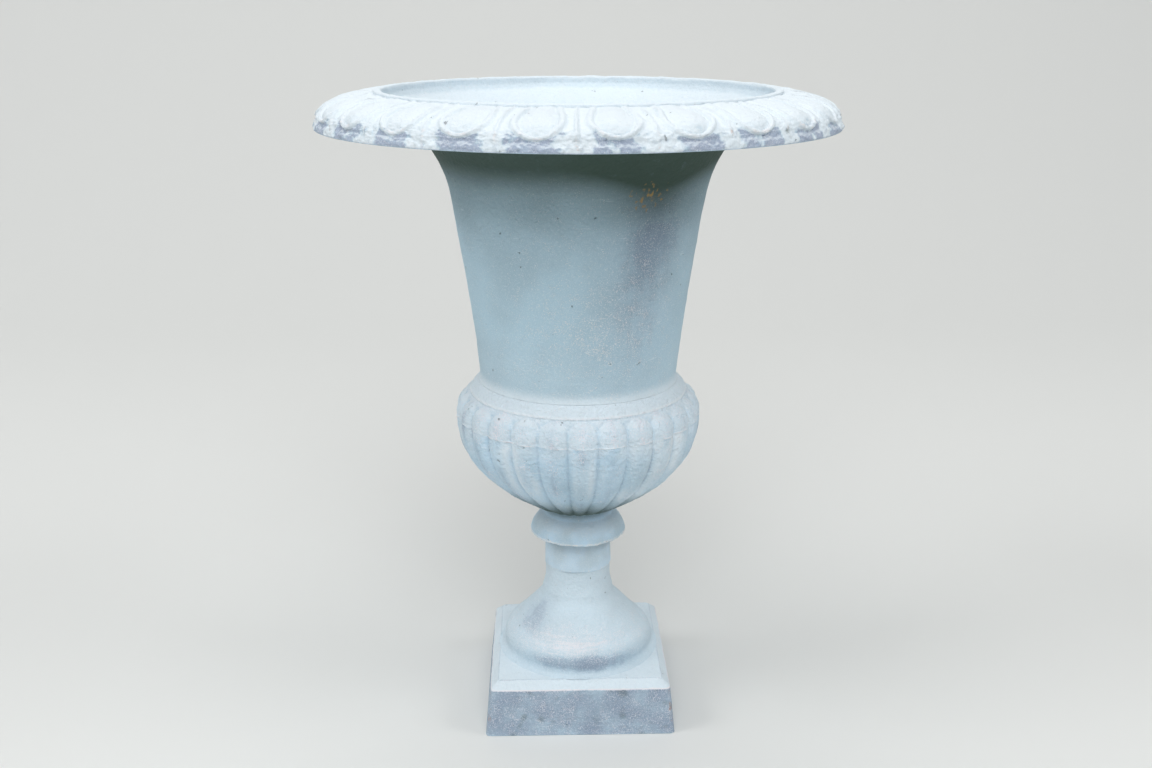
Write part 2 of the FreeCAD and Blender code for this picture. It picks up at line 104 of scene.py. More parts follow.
def swell(points: np.ndarray, size_mm: float, seed: int) -> np.ndarray:
    """A smooth random field of lumps, as a hand-made sand mould leaves them.

    Args:
        points: Places in mm, with x, y and z last.
        size_mm: How far apart the lumps stand.
        seed: Picks one field among many.

    Returns:
        Values mostly between -1 and 1.
    """
    waves = 28
    shortest, longest = 0.7, 1.5
    picker = np.random.default_rng(seed)
    directions = picker.normal(size=(waves, 3))
    directions /= np.linalg.norm(directions, axis=1)[:, None]
    lengths = size_mm * picker.uniform(shortest, longest, waves)
    phases = picker.uniform(0, 2 * math.pi, waves)
    total = np.zeros(points.shape[:-1])
    for direction, length, phase in zip(directions, lengths, phases):
        total += np.cos(points @ (direction * 2 * math.pi / length) + phase)
    return total / math.sqrt(2 * waves)


def at_least(floor: float, share: np.ndarray) -> np.ndarray:
    """Lifts a share that runs from 0 to 1, so that it runs from a floor to 1."""
    return floor + (1 - floor) * share


@dataclass(frozen=True)
class Fade:
    """A smooth change, by the values at which it is none and full."""

    none: float
    full: float

    def at(self, value: np.ndarray, origin: float = 0.0) -> np.ndarray:
        """Shares from 0 to 1 at values counted from an origin."""
        return ease(value, origin + self.none, origin + self.full)


@dataclass(frozen=True)
class Ridge:
    """A round ridge of height one, by its middle and its full width in mm."""

    centre: float
    width: float

    def at(self, value: np.ndarray, origin: float = 0.0) -> np.ndarray:
        """Shares from 0 to 1 at values counted from an origin."""
        return bead(value, origin + self.centre, self.width)


@dataclass(frozen=True)
class Lumps:
    """Random lumps, by their distance apart in mm, their height and the field that is picked."""

    apart: float
    height: float
    seed: int

    def over(self, places: np.ndarray) -> np.ndarray:
        """How high each place stands."""
        return self.height * swell(places, self.apart, self.seed)


@dataclass(frozen=True)
class Blotches:
    """Random blotches of wear or dirt, by distance apart in mm and the field's values for none and full."""

    apart: float
    seed: int
    none: float
    full: float

    def over(self, places: np.ndarray) -> np.ndarray:
        """Shares from 0 to 1 at each place."""
        return ease(swell(places, self.apart, self.seed), self.none, self.full)


@dataclass(frozen=True)
class Spot:
    """A soft spot, by its middle and spread in degrees from the front and in mm of height."""

    turn: float
    spread: float
    height: float = 0.0
    rise: float = math.inf

    def over(self, turn: np.ndarray, height: np.ndarray) -> np.ndarray:
        """Shares from 0 to 1 at each direction and height."""
        return np.exp(-(((turn - self.turn) / self.spread) ** 2) - ((height - self.height) / self.rise) ** 2)


def lumpy(places: np.ndarray, fields: tuple[Lumps, ...]) -> np.ndarray:
    """The height of several fields of lumps on top of each other."""
    return sum(field.over(places) for field in fields)


def level(places: np.ndarray) -> np.ndarray:
    """The places brought down to the floor, for a field that is the same at every height."""
    return places * np.array((1, 1, 0))


# Turned meshes


class Mark(Enum):
    """Wear, dirt and painted light and shade that a casting keeps on its mesh for the paint to read."""

    WEAR = "wear"
    # Undercoat showing through, and also painted shade in the bowl's valleys, under its mould line and in its
    # recess
    THIN = "thin"
    # Dirt, and also painted shade under the rim, under the bowl and the knop, on the stem and in the rim's
    # grooves
    GRIME_AND_SHADE = "grime_and_shade"
    RUST = "rust"
    # Bleached paint, and also painted light inside the mouth, at the waist, on the bowl's shoulder and
    # painted highlights on ridges
    PALE_AND_LIGHT = "pale"


class Outline:
    """A closed outline of radius and height in mm, drawn up the outside and down the inside."""

    def __init__(self, radius: float, height: float, square: float = 0.0) -> None:
        """Starts the outline at its first point."""
        self.points = [(radius, height, square)]
        self.spans = [""]

    def add(self, radius: float, height: float, square: float, span: str) -> None:
        """Adds one point to a named stretch."""
        self.points.append((float(radius), float(height), float(square)))
        self.spans.append(span)

    def line(
        self, radius: float, height: float, cuts: int = 3, span: str = "", square: float = 0.0) -> None:
        """Adds a straight stretch.

        Args:
            radius: Radius at its end, or half the width where it is square.
            height: Height at its end.
            cuts: How many equal parts it is cut into.
            span: Name by which a relief finds the stretch.
            square: 0 for a round level and 1 for a square one.
        """
        start = np.array(self.points[-1])
        way = np.array((radius, height, square)) - start
        for index in range(1, cuts + 1):
            self.add(*(start + way * index / cuts), span)

    def arc(self, radius: float, height: float, bow: float, cuts: int, span: str = "") -> None:
        """Adds a round stretch.

        Args:
            radius: Radius at its end.
            height: Height at its end.
            bow: How far its middle stands to the left of the chord.
            cuts: How many equal parts it is cut into.
            span: Name by which a relief finds the stretch.
        """
        start = np.array(self.points[-1][:2])
        chord = np.array((radius, height)) - start
        length = float(np.hypot(*chord))
        left = np.array((-chord[1], chord[0])) / length
        round_radius = (length**2 / 4 + bow**2) / (2 * bow)
        for index in range(1, cuts + 1):
            along = index / cuts - 0.5
            reach = math.copysign(math.sqrt(round_radius**2 - (along * length) ** 2), bow)
            place = start + chord * (along + 0.5) + left * (reach - (round_radius - bow))
            self.add(*place, 0.0, span)

    def ellipse(self, radius: float, height: float, cuts: int, span: str = "") -> None:
        """Adds a quarter of an ellipse that starts upright and ends level.

        Args:
            radius: Radius at its end.
            height: Height at its end.
            cuts: How many parts it is cut into.
            span: Name by which a relief finds the stretch.
        """
        start_radius, start_height, _ = self.points[-1]
        for index in range(1, cuts + 1):
            turn = index / cuts * math.pi / 2
            across = radius + (start_radius - radius) * math.cos(turn)
            self.add(across, start_height + (height - start_height) * math.sin(turn), 0.0, span)

    def curve(self, radii: np.ndarray, heights: np.ndarray, span: str = "") -> None:
        """Adds points that a formula gives."""
        for radius, height in zip(radii, heights):
            self.add(radius, height, 0.0, span)


def square_reach(azimuth: np.ndarray, half: np.ndarray, corner: float) -> np.ndarray:
    """How far a round-cornered square reaches in each direction.

    Args:
        azimuth: Directions in radians.
        half: Half the square's width.
        corner: Radius of its corners.

    Returns:
        Distances from its middle.
    """
    folded = np.abs((azimuth + math.pi / 4) % (math.pi / 2) - math.pi / 4)
    side = half / np.cos(folded)
    centre = half - corner
    lean = centre * (np.cos(folded) + np.sin(folded))
    round_part = lean + np.sqrt(np.maximum(lean**2 - 2 * centre**2 + corner**2, 0))
    return np.where(half * np.tan(folded) > centre, round_part, side)


class Turned:
    """A casting's surface as a grid of outline points by directions round the axis."""

    def __init__(self, outline: Outline, columns: int, corner: float = 0.0) -> None:
        """Lays out the grid.

        Args:
            outline: The closed outline.
            columns: How many directions round the axis.
            corner: Radius of the corners of its square levels, in mm.
        """
        points = np.array(outline.points[:-1])
        self.spans = np.array(outline.spans[:-1])
        self.azimuth = np.arange(columns) * 2 * math.pi / columns
        self.height = np.repeat(points[:, 1][:, None], columns, 1)
        radius, square = points[:, 0][:, None], points[:, 2][:, None]
        self.radius = (1 - square) * radius + square * square_reach(self.azimuth[None, :], radius, corner)
        self.marks = {mark: np.zeros_like(self.height) for mark in Mark}

    def rows(self, *spans: str) -> np.ndarray:
        """True on the rows of the named stretches, as a column."""
        return np.isin(self.spans, spans)[:, None]

    def turn(self) -> np.ndarray:
        """Directions in degrees from the front, from -180 to 180, as a row."""
        return ((np.degrees(self.azimuth) + 180) % 360 - 180)[None, :]

    def places(self) -> np.ndarray:
        """The grid's points as x, y and z in mm."""
        right = self.radius * np.sin(self.azimuth)
        back = -self.radius * np.cos(self.azimuth)
        return np.stack([right, back, self.height], -1)

    def along(self) -> np.ndarray:
        """Distance along the outline at each row, in mm, as a column."""
        steps = np.hypot(np.diff(self.radius[:, 0]), np.diff(self.height[:, 0]))
        return np.concatenate([[0], np.cumsum(steps)])[:, None]

    def raise_by(self, amount: np.ndarray) -> None:
        """Moves the surface out, square to its outline, by so many mm at each point."""
        across = np.roll(self.radius, -1, 0) - np.roll(self.radius, 1, 0)
        up = np.roll(self.height, -1, 0) - np.roll(self.height, 1, 0)
        length = np.maximum(np.hypot(across, up), LEAST_STEP)
        self.radius = self.radius + amount * up / length
        self.height = self.height - amount * across / length

    def mark(self, mark: Mark, amount: np.ndarray) -> None:
        """Keeps the stronger of what is marked already and the amount."""
        self.marks[mark] = np.maximum(self.marks[mark], np.clip(amount, 0, 1))

    def mesh(self, name: str) -> bpy.types.Object:
        """Makes the closed mesh, with its marks as attributes that the paint reads.

        Args:
            name: Name of the piece.

        Returns:
            The new object, linked to the scene.
        """
        rows, columns = self.radius.shape
        index = np.arange(rows * columns).reshape(rows, columns)
        right = np.roll(index, -1, 1)
        above = np.roll(index, -1, 0)
        faces = np.stack([index, right, np.roll(right, -1, 0), above], -1).reshape(-1, 4)
        data = bpy.data.meshes.new(name)
        data.from_pydata((self.places().reshape(-1, 3) * MM).tolist(), [], faces.tolist())
        for mark, values in self.marks.items():
            attribute = data.attributes.new(mark.value, "FLOAT", "POINT")
            attribute.data.foreach_set("value", values.reshape(-1).astype(np.float32))
        data.shade_smooth()
        piece = bpy.data.objects.new(name, data)
        bpy.context.scene.collection.objects.link(piece)
        return piece


# Finishes


def add_node(
        tree: bpy.types.NodeTree, kind: str, links: dict | None = None, **settings: object) -> bpy.types.Node:
    """Adds one shader node.

    Args:
        tree: The node tree it goes into.
        kind: Blender's name for the node.
        links: For each input, by name or number, a value or the output that feeds it.
        settings: Properties of the node itself.

    Returns:
        The new node.
    """
    node = tree.nodes.new(kind)
    for name, value in settings.items():
        setattr(node, name, value)
    for key, value in (links or {}).items():
        if isinstance(value, bpy.types.NodeSocket):
            tree.links.new(value, node.inputs[key])
        else:
            node.inputs[key].default_value = value
    return node


def blank_material(name: str) -> tuple[bpy.types.Material, bpy.types.NodeTree]:
    """A new material and its empty node tree."""
    made = bpy.data.materials.new(name)
    made.use_nodes = True
    made.node_tree.nodes.clear()
    return made, made.node_tree


class Layer(Enum):
    """Inputs of Blender's colour mix."""

    SHARE = "Factor"
    UNDER = 6
    OVER = 7


@dataclass(frozen=True)
class Grain:
    """A random pattern in a finish, by the size of its lumps and how it is stretched and turned."""

    size_mm: float
    detail: float
    roughness: float
    stretch: tuple[float, float, float] = (1.0, 1.0, 1.0)
    lean: tuple[float, float, float] = (0.0, 0.0, 0.0)


class PaintMixer:
    """A paint's node tree with the patterns and marks that bring out its coats."""

    def __init__(self, tree: bpy.types.NodeTree, grains: dict[str, Grain]) -> None:
        """Adds the patterns and marks.

        Args:
            tree: The paint's empty node tree.
            grains: The paint's random patterns by name.
        """
        self.tree = tree
        place = add_node(tree, "ShaderNodeTexCoord").outputs["Object"]
        facing = add_node(tree, "ShaderNodeNewGeometry").outputs["Normal"]
        self.sources = {"upward": add_node(tree, "ShaderNodeSeparateXYZ", {0: facing}).outputs["Z"]}
        for mark in Mark:
            attribute = add_node(tree, "ShaderNodeAttribute", attribute_name=mark.value)
            self.sources[mark.value] = attribute.outputs["Fac"]
        for name, grain in grains.items():
            laid = add_node(
                tree, "ShaderNodeMapping", {"Vector": place, "Rotation": grain.lean, "Scale": grain.stretch})
            lumps = {"Scale": 1 / (grain.size_mm * MM), "Detail": grain.detail, "Roughness": grain.roughness}
            noise = add_node(tree, "ShaderNodeTexNoise", {"Vector": laid.outputs["Vector"], **lumps})
            self.sources[name] = noise.outputs["Fac"]

    def shown(
            self, weights: dict[str, float], none: float, full: float, most: float = 1.0
    ) -> bpy.types.NodeSocket:
        """How much of a coat shows, by a weighted sum of patterns and marks.

        Args:
            weights: The weight of each pattern or mark.
            none: The sum at which nothing of the coat shows.
            full: The sum at which most of it shows.
            most: How much that is, from 0 to 1.

        Returns:
            The share of the coat.
        """
        total = 0.0
        for name, weight in weights.items():
            links = {0: self.sources[name], 1: weight, 2: total}
            total = add_node(self.tree, "ShaderNodeMath", links, operation="MULTIPLY_ADD").outputs[0]
        limits = {"Value": total, "From Min": none, "From Max": full, "To Max": most}
        shown = add_node(self.tree, "ShaderNodeMapRange", limits, interpolation_type="SMOOTHSTEP")
        return shown.outputs["Result"]

    def coated(self, body: str, coats: tuple[tuple[object, str], ...]) -> bpy.types.NodeSocket:
        """The colour of a body with coats over it.

        Args:
            body: The colour below.
            coats: Each coat's share and colour, from the lowest up.

        Returns:
            The colour that is seen.
        """
        colour = srgb(body)
        for share, coat in coats:
            links = {Layer.SHARE.value: share, Layer.UNDER.value: colour, Layer.OVER.value: srgb(coat)}
            colour = add_node(self.tree, "ShaderNodeMix", links, data_type="RGBA").outputs[2]
        return colour


@dataclass(frozen=True)
class ChalkPaint:
    """Chalky paint over cast iron, brushed on thick and weathered outdoors.

    It is matt and powdery. The eye sees a pale duck-egg blue that has bleached towards white where
    rain and sun reach it; the same white is also painted in as light where the pale mark asks for it.
    Where the coat is thin a grey-violet undercoat shows through, and that colour also serves as painted
    shade. The high edges and grains are rubbed to a warm white, green-grey dirt smudges it, the same
    green-grey is painted in as shade in hollows and under overhangs, and rust comes through in small spots.
    """

    name: str
    body: str = "#bbd6e5"
    shelter: str = "#b0c9d7"
    # Colour of bleached paint, also used for painted light where the pale mark asks for it
    bleached_and_lit: str = "#e9f2f8"
    # Colour of the undercoat, also used for painted shade where the thin mark asks for it
    undercoat_and_shade: str = "#8293aa"
    bare: str = "#f2ebe8"
    # Colour of green-grey dirt, also used for painted shade where the grime mark asks for it
    dirt_and_shade: str = "#3b4e46"
    iron: str = "#39424a"
    rust: str = "#b0784c"
    # Broad clouds of a duller blue, about a hand across
    patch_mm: float = 85.0
    # Blotches of a finger's width that break up every edge of the wear
    blotch_mm: float = 13.0
    # Specks of pigment and sand, drawn coarser than they are so that they show
    speck_mm: float = 2.6
    fine_mm: float = 1.17
    # Strokes of the brush round the urn, runs of rain down it and slanting scratches
    stroke_mm: float = 2.86
    run_mm: float = 9.1
    scratch_mm: float = 2.08
    # Pinholes of the casting and its pebbled skin
    pit_mm: float = 9.0
    pit_depth_mm: float = 1.2
    pebble_mm: float = 4.4
    pebble_depth_mm: float = 0.7
    powder_depth_mm: float = 0.2
    bleach: float = 0.85
    thin_patches: float = 0.45
    grains: float = 0.5
    roughness: float = 0.85
    refraction: float = 1.45

    def patterns(self) -> dict[str, Grain]:
        """The paint's random patterns."""
        return {
            "patches": Grain(self.patch_mm, 2.0, 0.55),
            "blotches": Grain(self.blotch_mm, 5.0, 0.62),
            "specks": Grain(self.speck_mm, 4.0, 0.62),
            "fine": Grain(self.fine_mm, 3.0, 0.6),
            "strokes": Grain(self.stroke_mm, 4.0, 0.6, stretch=(0.09, 0.09, 1.0)),
            "runs": Grain(self.run_mm, 4.0, 0.6, stretch=(1.0, 1.0, 0.1)),
            "scratches": Grain(self.scratch_mm, 1.0, 0.4, stretch=(0.1, 0.1, 1.0), lean=(0.2, 0.45, 0.0)),
            "pits": Grain(self.pit_mm, 2.0, 0.5),
            "pebbles": Grain(self.pebble_mm, 2.5, 0.5),
        }

    def material(self) -> bpy.types.Material:
        """Builds the paint.

        Returns:
            The new material.
        """
        made, tree = blank_material(self.name)
        mixer = PaintMixer(tree, self.patterns())
        shown, sources = mixer.shown, mixer.sources

        sources["clouds"] = shown({"patches": 1.0}, 0.5, 0.7, self.thin_patches / 2)
        uneven = {"thin": 1.0, "clouds": 1.0, "blotches": 0.5, "strokes": 0.3, "runs": 0.4}
        links = {0: sources["thin"], 1: 0.42, 2: shown(uneven, 0.9, 1.45, 0.55)}
        thin = add_node(tree, "ShaderNodeMath", links, operation="MULTIPLY_ADD").outputs[0]
        # Up-facing paint bleaches; the pale mark raises it further and in places stands for painted light
        weathered_and_lit = shown({"upward": 1.0, "blotches": 0.3}, 0.3, 1.0, self.bleach)
        links = {0: weathered_and_lit, 1: sources["pale"]}
        weathered_and_lit = add_node(tree, "ShaderNodeMath", links, operation="MAXIMUM").outputs[0]
        links = {0: thin, 1: -0.5, 2: weathered_and_lit}
        weathered_and_lit = add_node(tree, "ShaderNodeMath", links, operation="MULTIPLY_ADD").outputs[0]
        # Dirt and painted shade from the grime mark, broken up by blotches
        links = {0: sources["grime_and_shade"], 1: shown({"blotches": 1.0}, -0.4, 0.4)}
        dirt_and_shade_share = add_node(tree, "ShaderNodeMath", links, operation="MULTIPLY").outputs[0]
        clean = add_node(tree, "ShaderNodeMath", {0: 1.0, 1: dirt_and_shade_share}, operation="SUBTRACT").outputs[0]
        worn = shown({"wear": 1.0, "specks": 0.4, "strokes": 0.8}, 0.96, 1.3, 0.85)
        sprinkled = shown({"fine": 1.0, "blotches": 0.4, "wear": 0.35}, 0.82, 0.92, self.grains)
        scratched = shown({"scratches": 1.0}, 0.73, 0.78, 0.35)
        pitted = shown({"pits": 1.0}, 0.735, 0.77)
        rusty = shown({"rust": 1.0, "specks": 0.5, "blotches": 0.5}, 1.05, 1.3, 0.8)
        shares = []
        for share, kept in ((sprinkled, clean), (scratched, clean), (pitted, 0.5)):
            product = add_node(tree, "ShaderNodeMath", {0: share, 1: kept}, operation="MULTIPLY")
            shares.append(product.outputs[0])
        sprinkled, scratched, pit_colour = shares
        colour = mixer.coated(self.body, (
            (shown({"patches": 1.0}, 0.4, 0.66), self.shelter),
            (shown({"blotches": 1.0}, 0.5, 0.75, 0.3), self.shelter),
            (thin, self.undercoat_and_shade),
            (weathered_and_lit, self.bleached_and_lit),
            (shown({"fine": 1.0}, 0.45, 0.75, 0.4), self.bleached_and_lit),
            (shown({"specks": 1.0}, 0.42, 0.25, 0.3), self.shelter),
            (dirt_and_shade_share, self.dirt_and_shade),
            (worn, self.bare),
            (sprinkled, self.bare),
            (scratched, self.bleached_and_lit),
            (pit_colour, self.iron),
            (rusty, self.rust),
        ))

        skin = {}
        for height, depth_mm, strength, invert in (
            (sources["fine"], self.powder_depth_mm, 0.4, False),
            (sources["pebbles"], self.pebble_depth_mm, 0.9, False),
            (pitted, self.pit_depth_mm, 0.8, True),
        ):
            links = {"Strength": strength, "Distance": depth_mm * MM, "Height": height, **skin}
            skin = {"Normal": add_node(tree, "ShaderNodeBump", links, invert=invert).outputs["Normal"]}
        surface = {"Base Color": colour, "Roughness": self.roughness, "Metallic": 0.0, "IOR": self.refraction}
        shader = add_node(tree, "ShaderNodeBsdfPrincipled", {**surface, **skin})
        add_node(tree, "ShaderNodeOutputMaterial", {"Surface": shader.outputs["BSDF"]})
        return made


@dataclass(frozen=True)
class WeatheredSteel:
    """Plain steel fasteners, hot rolled and turned, left bare outdoors.

    The eye sees dull grey-brown metal with a broken film of brown rust.
    """

    name: str = "weathered_steel"
    steel: str = "#7c7a76"
    rust: str = "#6a4a33"
    # The film breaks up into spots the width of a match
    film_mm: float = 4.0
    film_depth_mm: float = 0.3
    metallic: tuple[float, float] = (0.9, 0.1)
    roughness: tuple[float, float] = (0.45, 0.9)

    def material(self) -> bpy.types.Material:
        """Builds the metal.

        Returns:
            The new material.
        """
        made, tree = blank_material(self.name)
        place = add_node(tree, "ShaderNodeTexCoord").outputs["Object"]
        spots = {"Vector": place, "Scale": 1 / (self.film_mm * MM), "Detail": 6.0, "Roughness": 0.65}
        film = add_node(tree, "ShaderNodeTexNoise", spots).outputs["Fac"]
        limits = {"Value": film, "From Min": 0.42, "From Max": 0.6}
        share = add_node(tree, "ShaderNodeMapRange", limits).outputs["Result"]
        steel, rust = srgb(self.steel), srgb(self.rust)
        mix = {Layer.SHARE.value: share, Layer.UNDER.value: steel, Layer.OVER.value: rust}
        bump = {"Strength": 0.5, "Distance": self.film_depth_mm * MM, "Height": film}
        surface = {
            "Base Color": add_node(tree, "ShaderNodeMix", mix, data_type="RGBA").outputs[2],
            "Normal": add_node(tree, "ShaderNodeBump", bump).outputs["Normal"],
        }
        for socket, (clean, rusted) in (("Metallic", self.metallic), ("Roughness", self.roughness)):
            change = {"Value": share, "To Min": clean, "To Max": rusted}
            surface[socket] = add_node(tree, "ShaderNodeMapRange", change).outputs["Result"]
        shader = add_node(tree, "ShaderNodeBsdfPrincipled", surface)
        add_node(tree, "ShaderNodeOutputMaterial", {"Surface": shader.outputs["BSDF"]})
        return made


def dress(piece: bpy.types.Object, material: bpy.types.Material, slot: str, *nodes: str) -> bpy.types.Object:
    """Paints a piece, fixes it to the urn and lets it stand for CAD nodes.

    Args:
        piece: The new piece.
        material: Its finish.
        slot: The name of a material slot; not used.
        nodes: CAD nodes that it stands for.

    Returns:
        The piece.
    """
    piece.data.materials.clear()
    piece.data.materials.append(material)
    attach(piece, "root")
    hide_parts(*nodes)
    return piece


# The castings


@dataclass
class EggPattern:
    """Where each point of the rim lies among its eggs and darts, in mm, and how far it stands out."""

    down: np.ndarray
    offset: np.ndarray
    outside: np.ndarray
    dart_line: np.ndarray
    ridges: np.ndarray
    barb: np.ndarray
    relief: np.ndarray


@dataclass
class RimRing:
    """The egg-and-dart rim: a hollow quarter-round casting bolted round the lip."""

    lip_radius: float = 232.0
    reach: float = 64.2
    drop: float = 25.9
    cavetto_depth: float = 2.3
    cavetto_height: float = 8.5
    edge: float = 2.6
    wall: float = 5.0
    land_radius: float = 248.7
    land_height: float = 7.0
    under_reach: float = 20.0
    under_fall: float = 5.5
    columns: int = 1248
    eggs: int = 24
    egg_start: float = 5.5
    egg_seed: int = 7
    egg_widths: tuple[float, float] = (0.96, 1.05)
    egg_lengths: tuple[float, float] = (-1.5, 1.2)
    egg_half: float = 19.8
    egg_narrow: float = 0.7
    egg_widens: Fade = Fade(0.0, 44.0)
    egg_rise: float = 3.6
    egg_roundness: float = 0.85
    egg_length: float = 68.0
    egg_tip: float = 22.0
    eggs_end: Fade = Fade(13.0, 6.0)
    sunk: float = 2.1
    sinks: Fade = Fade(0.0, 16.0)
    low_at_lip: float = 0.4
    rises_from_lip: Fade = Fade(0.0, 22.0)
    groove: float = 1.8
    groove_depth: float = 0.55
    groove_spread: float = 2.2
    band: float = 8.4
    band_rise: float = 3.0
    band_squeeze: float = 1.0
    band_start: float = 0.3
    band_inner_slope: float = 1.6
    band_outer_slope: float = 2.6
    dart_rise: float = 3.2
    dart_low: float = 0.5
    dart_rises: Fade = Fade(0.0, 24.0)
    dart_half: float = 1.8
    dart_growth: float = 1.4
    dart_widens: Fade = Fade(20.0, 60.0)
    barb_reach: float = 9.0
    barb_narrow: float = 0.3
    barb_opens: Fade = Fade(58.0, 76.0)
    barb_rise: float = 1.6
    barb_slope: float = 0.8
    barb_starts: Fade = Fade(58.0, 68.0)
    cut_depth: float = 1.5
    cut: Ridge = Ridge(1.1, 2.6)
    cut_starts: Fade = Fade(14.0, 36.0)
    cut_ends: Fade = Fade(72.0, 64.0)
    softness: float = 0.86
    soft_lumps: Lumps = Lumps(38.0, 0.3, 3)
    lumps: tuple[Lumps, ...] = (Lumps(34.0, 0.4, 1), Lumps(9.0, 0.16, 2))
    rough: tuple[Lumps, ...] = (Lumps(14.0, 0.55, 4), Lumps(5.5, 0.6, 5), Lumps(3.4, 0.45, 10))
    lower_part: Fade = Fade(56.0, 70.0)
    gap_depth: float = 2.2
    gap_half: float = 3.4
    gap_height: Ridge = Ridge(72.0, 9.0)
    gap_spots: Blotches = Blotches(60.0, 19, 0.2, 0.6)
    crest_wear: float = 0.24
    crests_worn: Fade = Fade(44.0, 66.0)
    edge_wear: float = 0.26
    edge_spots: Blotches = Blotches(13.0, 6, -0.5, 0.5)
    recess_edge: Fade = Fade(-1.0, 2.0)
    recess_side: Fade = Fade(38.0, 12.0)
    recess_down: Fade = Fade(54.0, 68.0)
    recess_ragged: Lumps = Lumps(13.0, 5.0, 39)
    flakes: tuple[Lumps, ...] = (Lumps(19.0, 0.5, 8), Lumps(6.0, 0.24, 38))
    flaked: Fade = Fade(0.35, 0.85)
    flakes_down: Fade = Fade(57.0, 66.0)
    flake_thin: float = 0.76
    flake_wear: float = 0.22
    outlined: Ridge = Ridge(1.0, 3.2)
    outlined_down: Fade = Fade(30.0, 50.0)
    outlined_thin: float = 0.4
    thin_spots: Blotches = Blotches(7.0, 18, 0.25, 0.7)
    spot_thin: float = 0.55
    under_edge: Fade = Fade(2.4, 0.6)
    under_thin: float = 0.8
    # Painted shade in the grooves round the eggs and a painted shadow line where the ring meets the lip
    groove_shading: Ridge = Ridge(1.0, 4.0)
    groove_painted_shade: float = 0.05
    lip_shadow_line: Fade = Fade(2.5, 0.5)
    lip_painted_shadow: float = 0.08
    # The breaks between shells are painted darker
    gap_darkening: float = 0.7
    dart_foot: float = 9.0
    foot_down: Fade = Fade(60.0, 68.0)
    foot_spots: Blotches = Blotches(13.0, 9, 0.1, 0.7)
    foot_rust: float = 0.62
    pale: float = 0.88

    def outline(self, bottom: float) -> Outline:
        """The ring's outline, from the height of its lower edge in mm."""
        face = self.lip_radius + self.reach
        outer = face + self.cavetto_depth
        shoulder = bottom + self.edge + self.cavetto_height
        top = shoulder + self.drop
        land = top - self.land_height
        outline = Outline(outer, bottom)
        outline.line(outer, bottom + self.edge, 3, "edge")
        outline.line(face, shoulder, 10, "cavetto")
        outline.ellipse(self.lip_radius, top, 61, "ovolo")
        outline.line(self.lip_radius, land, 2)
        outline.line(self.land_radius, land)
        outline.line(self.land_radius + self.under_reach, land - self.under_fall)
        outline.line(face - self.wall, shoulder, 4)
        outline.line(outer - self.wall, bottom)
        outline.line(outer, bottom)
        return outline

    def pattern(self, grid: Turned, places: np.ndarray) -> EggPattern:
        """Lays the eggs, their shells and the darts between them over the ring.

        Args:
            grid: The plain ring.
            places: Its points in mm.

        Returns:
            The pattern at each point.
        """
        along = grid.along()
        down = along[grid.rows("ovolo")[:, 0]].max() - along
        pitch = 360 / self.eggs
        turn = np.degrees(grid.azimuth)[None, :] - self.egg_start
        number = np.round(turn / pitch)
        per_degree = math.radians(1) * (self.lip_radius + self.reach)
        offset = np.abs(turn - number * pitch) * per_degree
        picker = np.random.default_rng(self.egg_seed)
        which = number[0].astype(int) % self.eggs
        widths = picker.uniform(*self.egg_widths, self.eggs)[which][None, :]
        lengths = picker.uniform(*self.egg_lengths, self.eggs)[which][None, :]
        half = self.egg_half * widths * at_least(self.egg_narrow, self.egg_widens.at(down))
        beyond = np.maximum(down - (self.egg_length + lengths - self.egg_tip), 0) / self.egg_tip
        reached = np.hypot(offset / half, beyond)
        at_tip = (beyond / np.maximum(reached, 0.01)) ** 2
        outside = (reached - 1) * half * (1 + self.band_squeeze * at_tip)
        at_lip = at_least(self.low_at_lip, self.rises_from_lip.at(down))
        egg = self.egg_rise * np.maximum(1 - reached**2, 0) ** self.egg_roundness * at_lip
        shell_end = self.groove + self.band
        shell = ease(outside, self.groove * self.band_start, self.groove + self.band_inner_slope)
        shell = self.band_rise * shell * ease(outside, shell_end, shell_end - self.band_outer_slope) * at_lip
        groove = bead(outside, self.groove / 2, self.groove * self.groove_spread)
        dart_line = pitch * per_degree / 2 - offset
        dart_half = self.dart_half + self.dart_growth * self.dart_widens.at(down)
        dart = self.dart_rise * bead(dart_line, 0, 2 * dart_half)
        dart = dart * at_least(self.dart_low, self.dart_rises.at(down))
        fan = self.barb_reach * at_least(self.barb_narrow, self.barb_opens.at(down))
        barb = self.barb_rise * ease(dart_line, fan + self.barb_slope, fan - self.barb_slope)
        cut = self.cut_depth * self.cut.at(dart_line, dart_half)
        barb = barb * self.barb_starts.at(down) - cut * self.cut_starts.at(down) * self.cut_ends.at(down)
        relief = egg + np.maximum(shell, np.maximum(dart, barb)) - self.groove_depth * groove * at_lip
        relief = relief * (self.softness + self.soft_lumps.over(places)) - self.sunk * self.sinks.at(down)
        relief = relief * self.eggs_end.at(down, self.egg_length) * grid.rows("ovolo", "cavetto")
        ridges = np.maximum(shell / self.band_rise, dart / self.dart_rise)
        return EggPattern(down, offset, outside, dart_line, ridges, barb, relief)

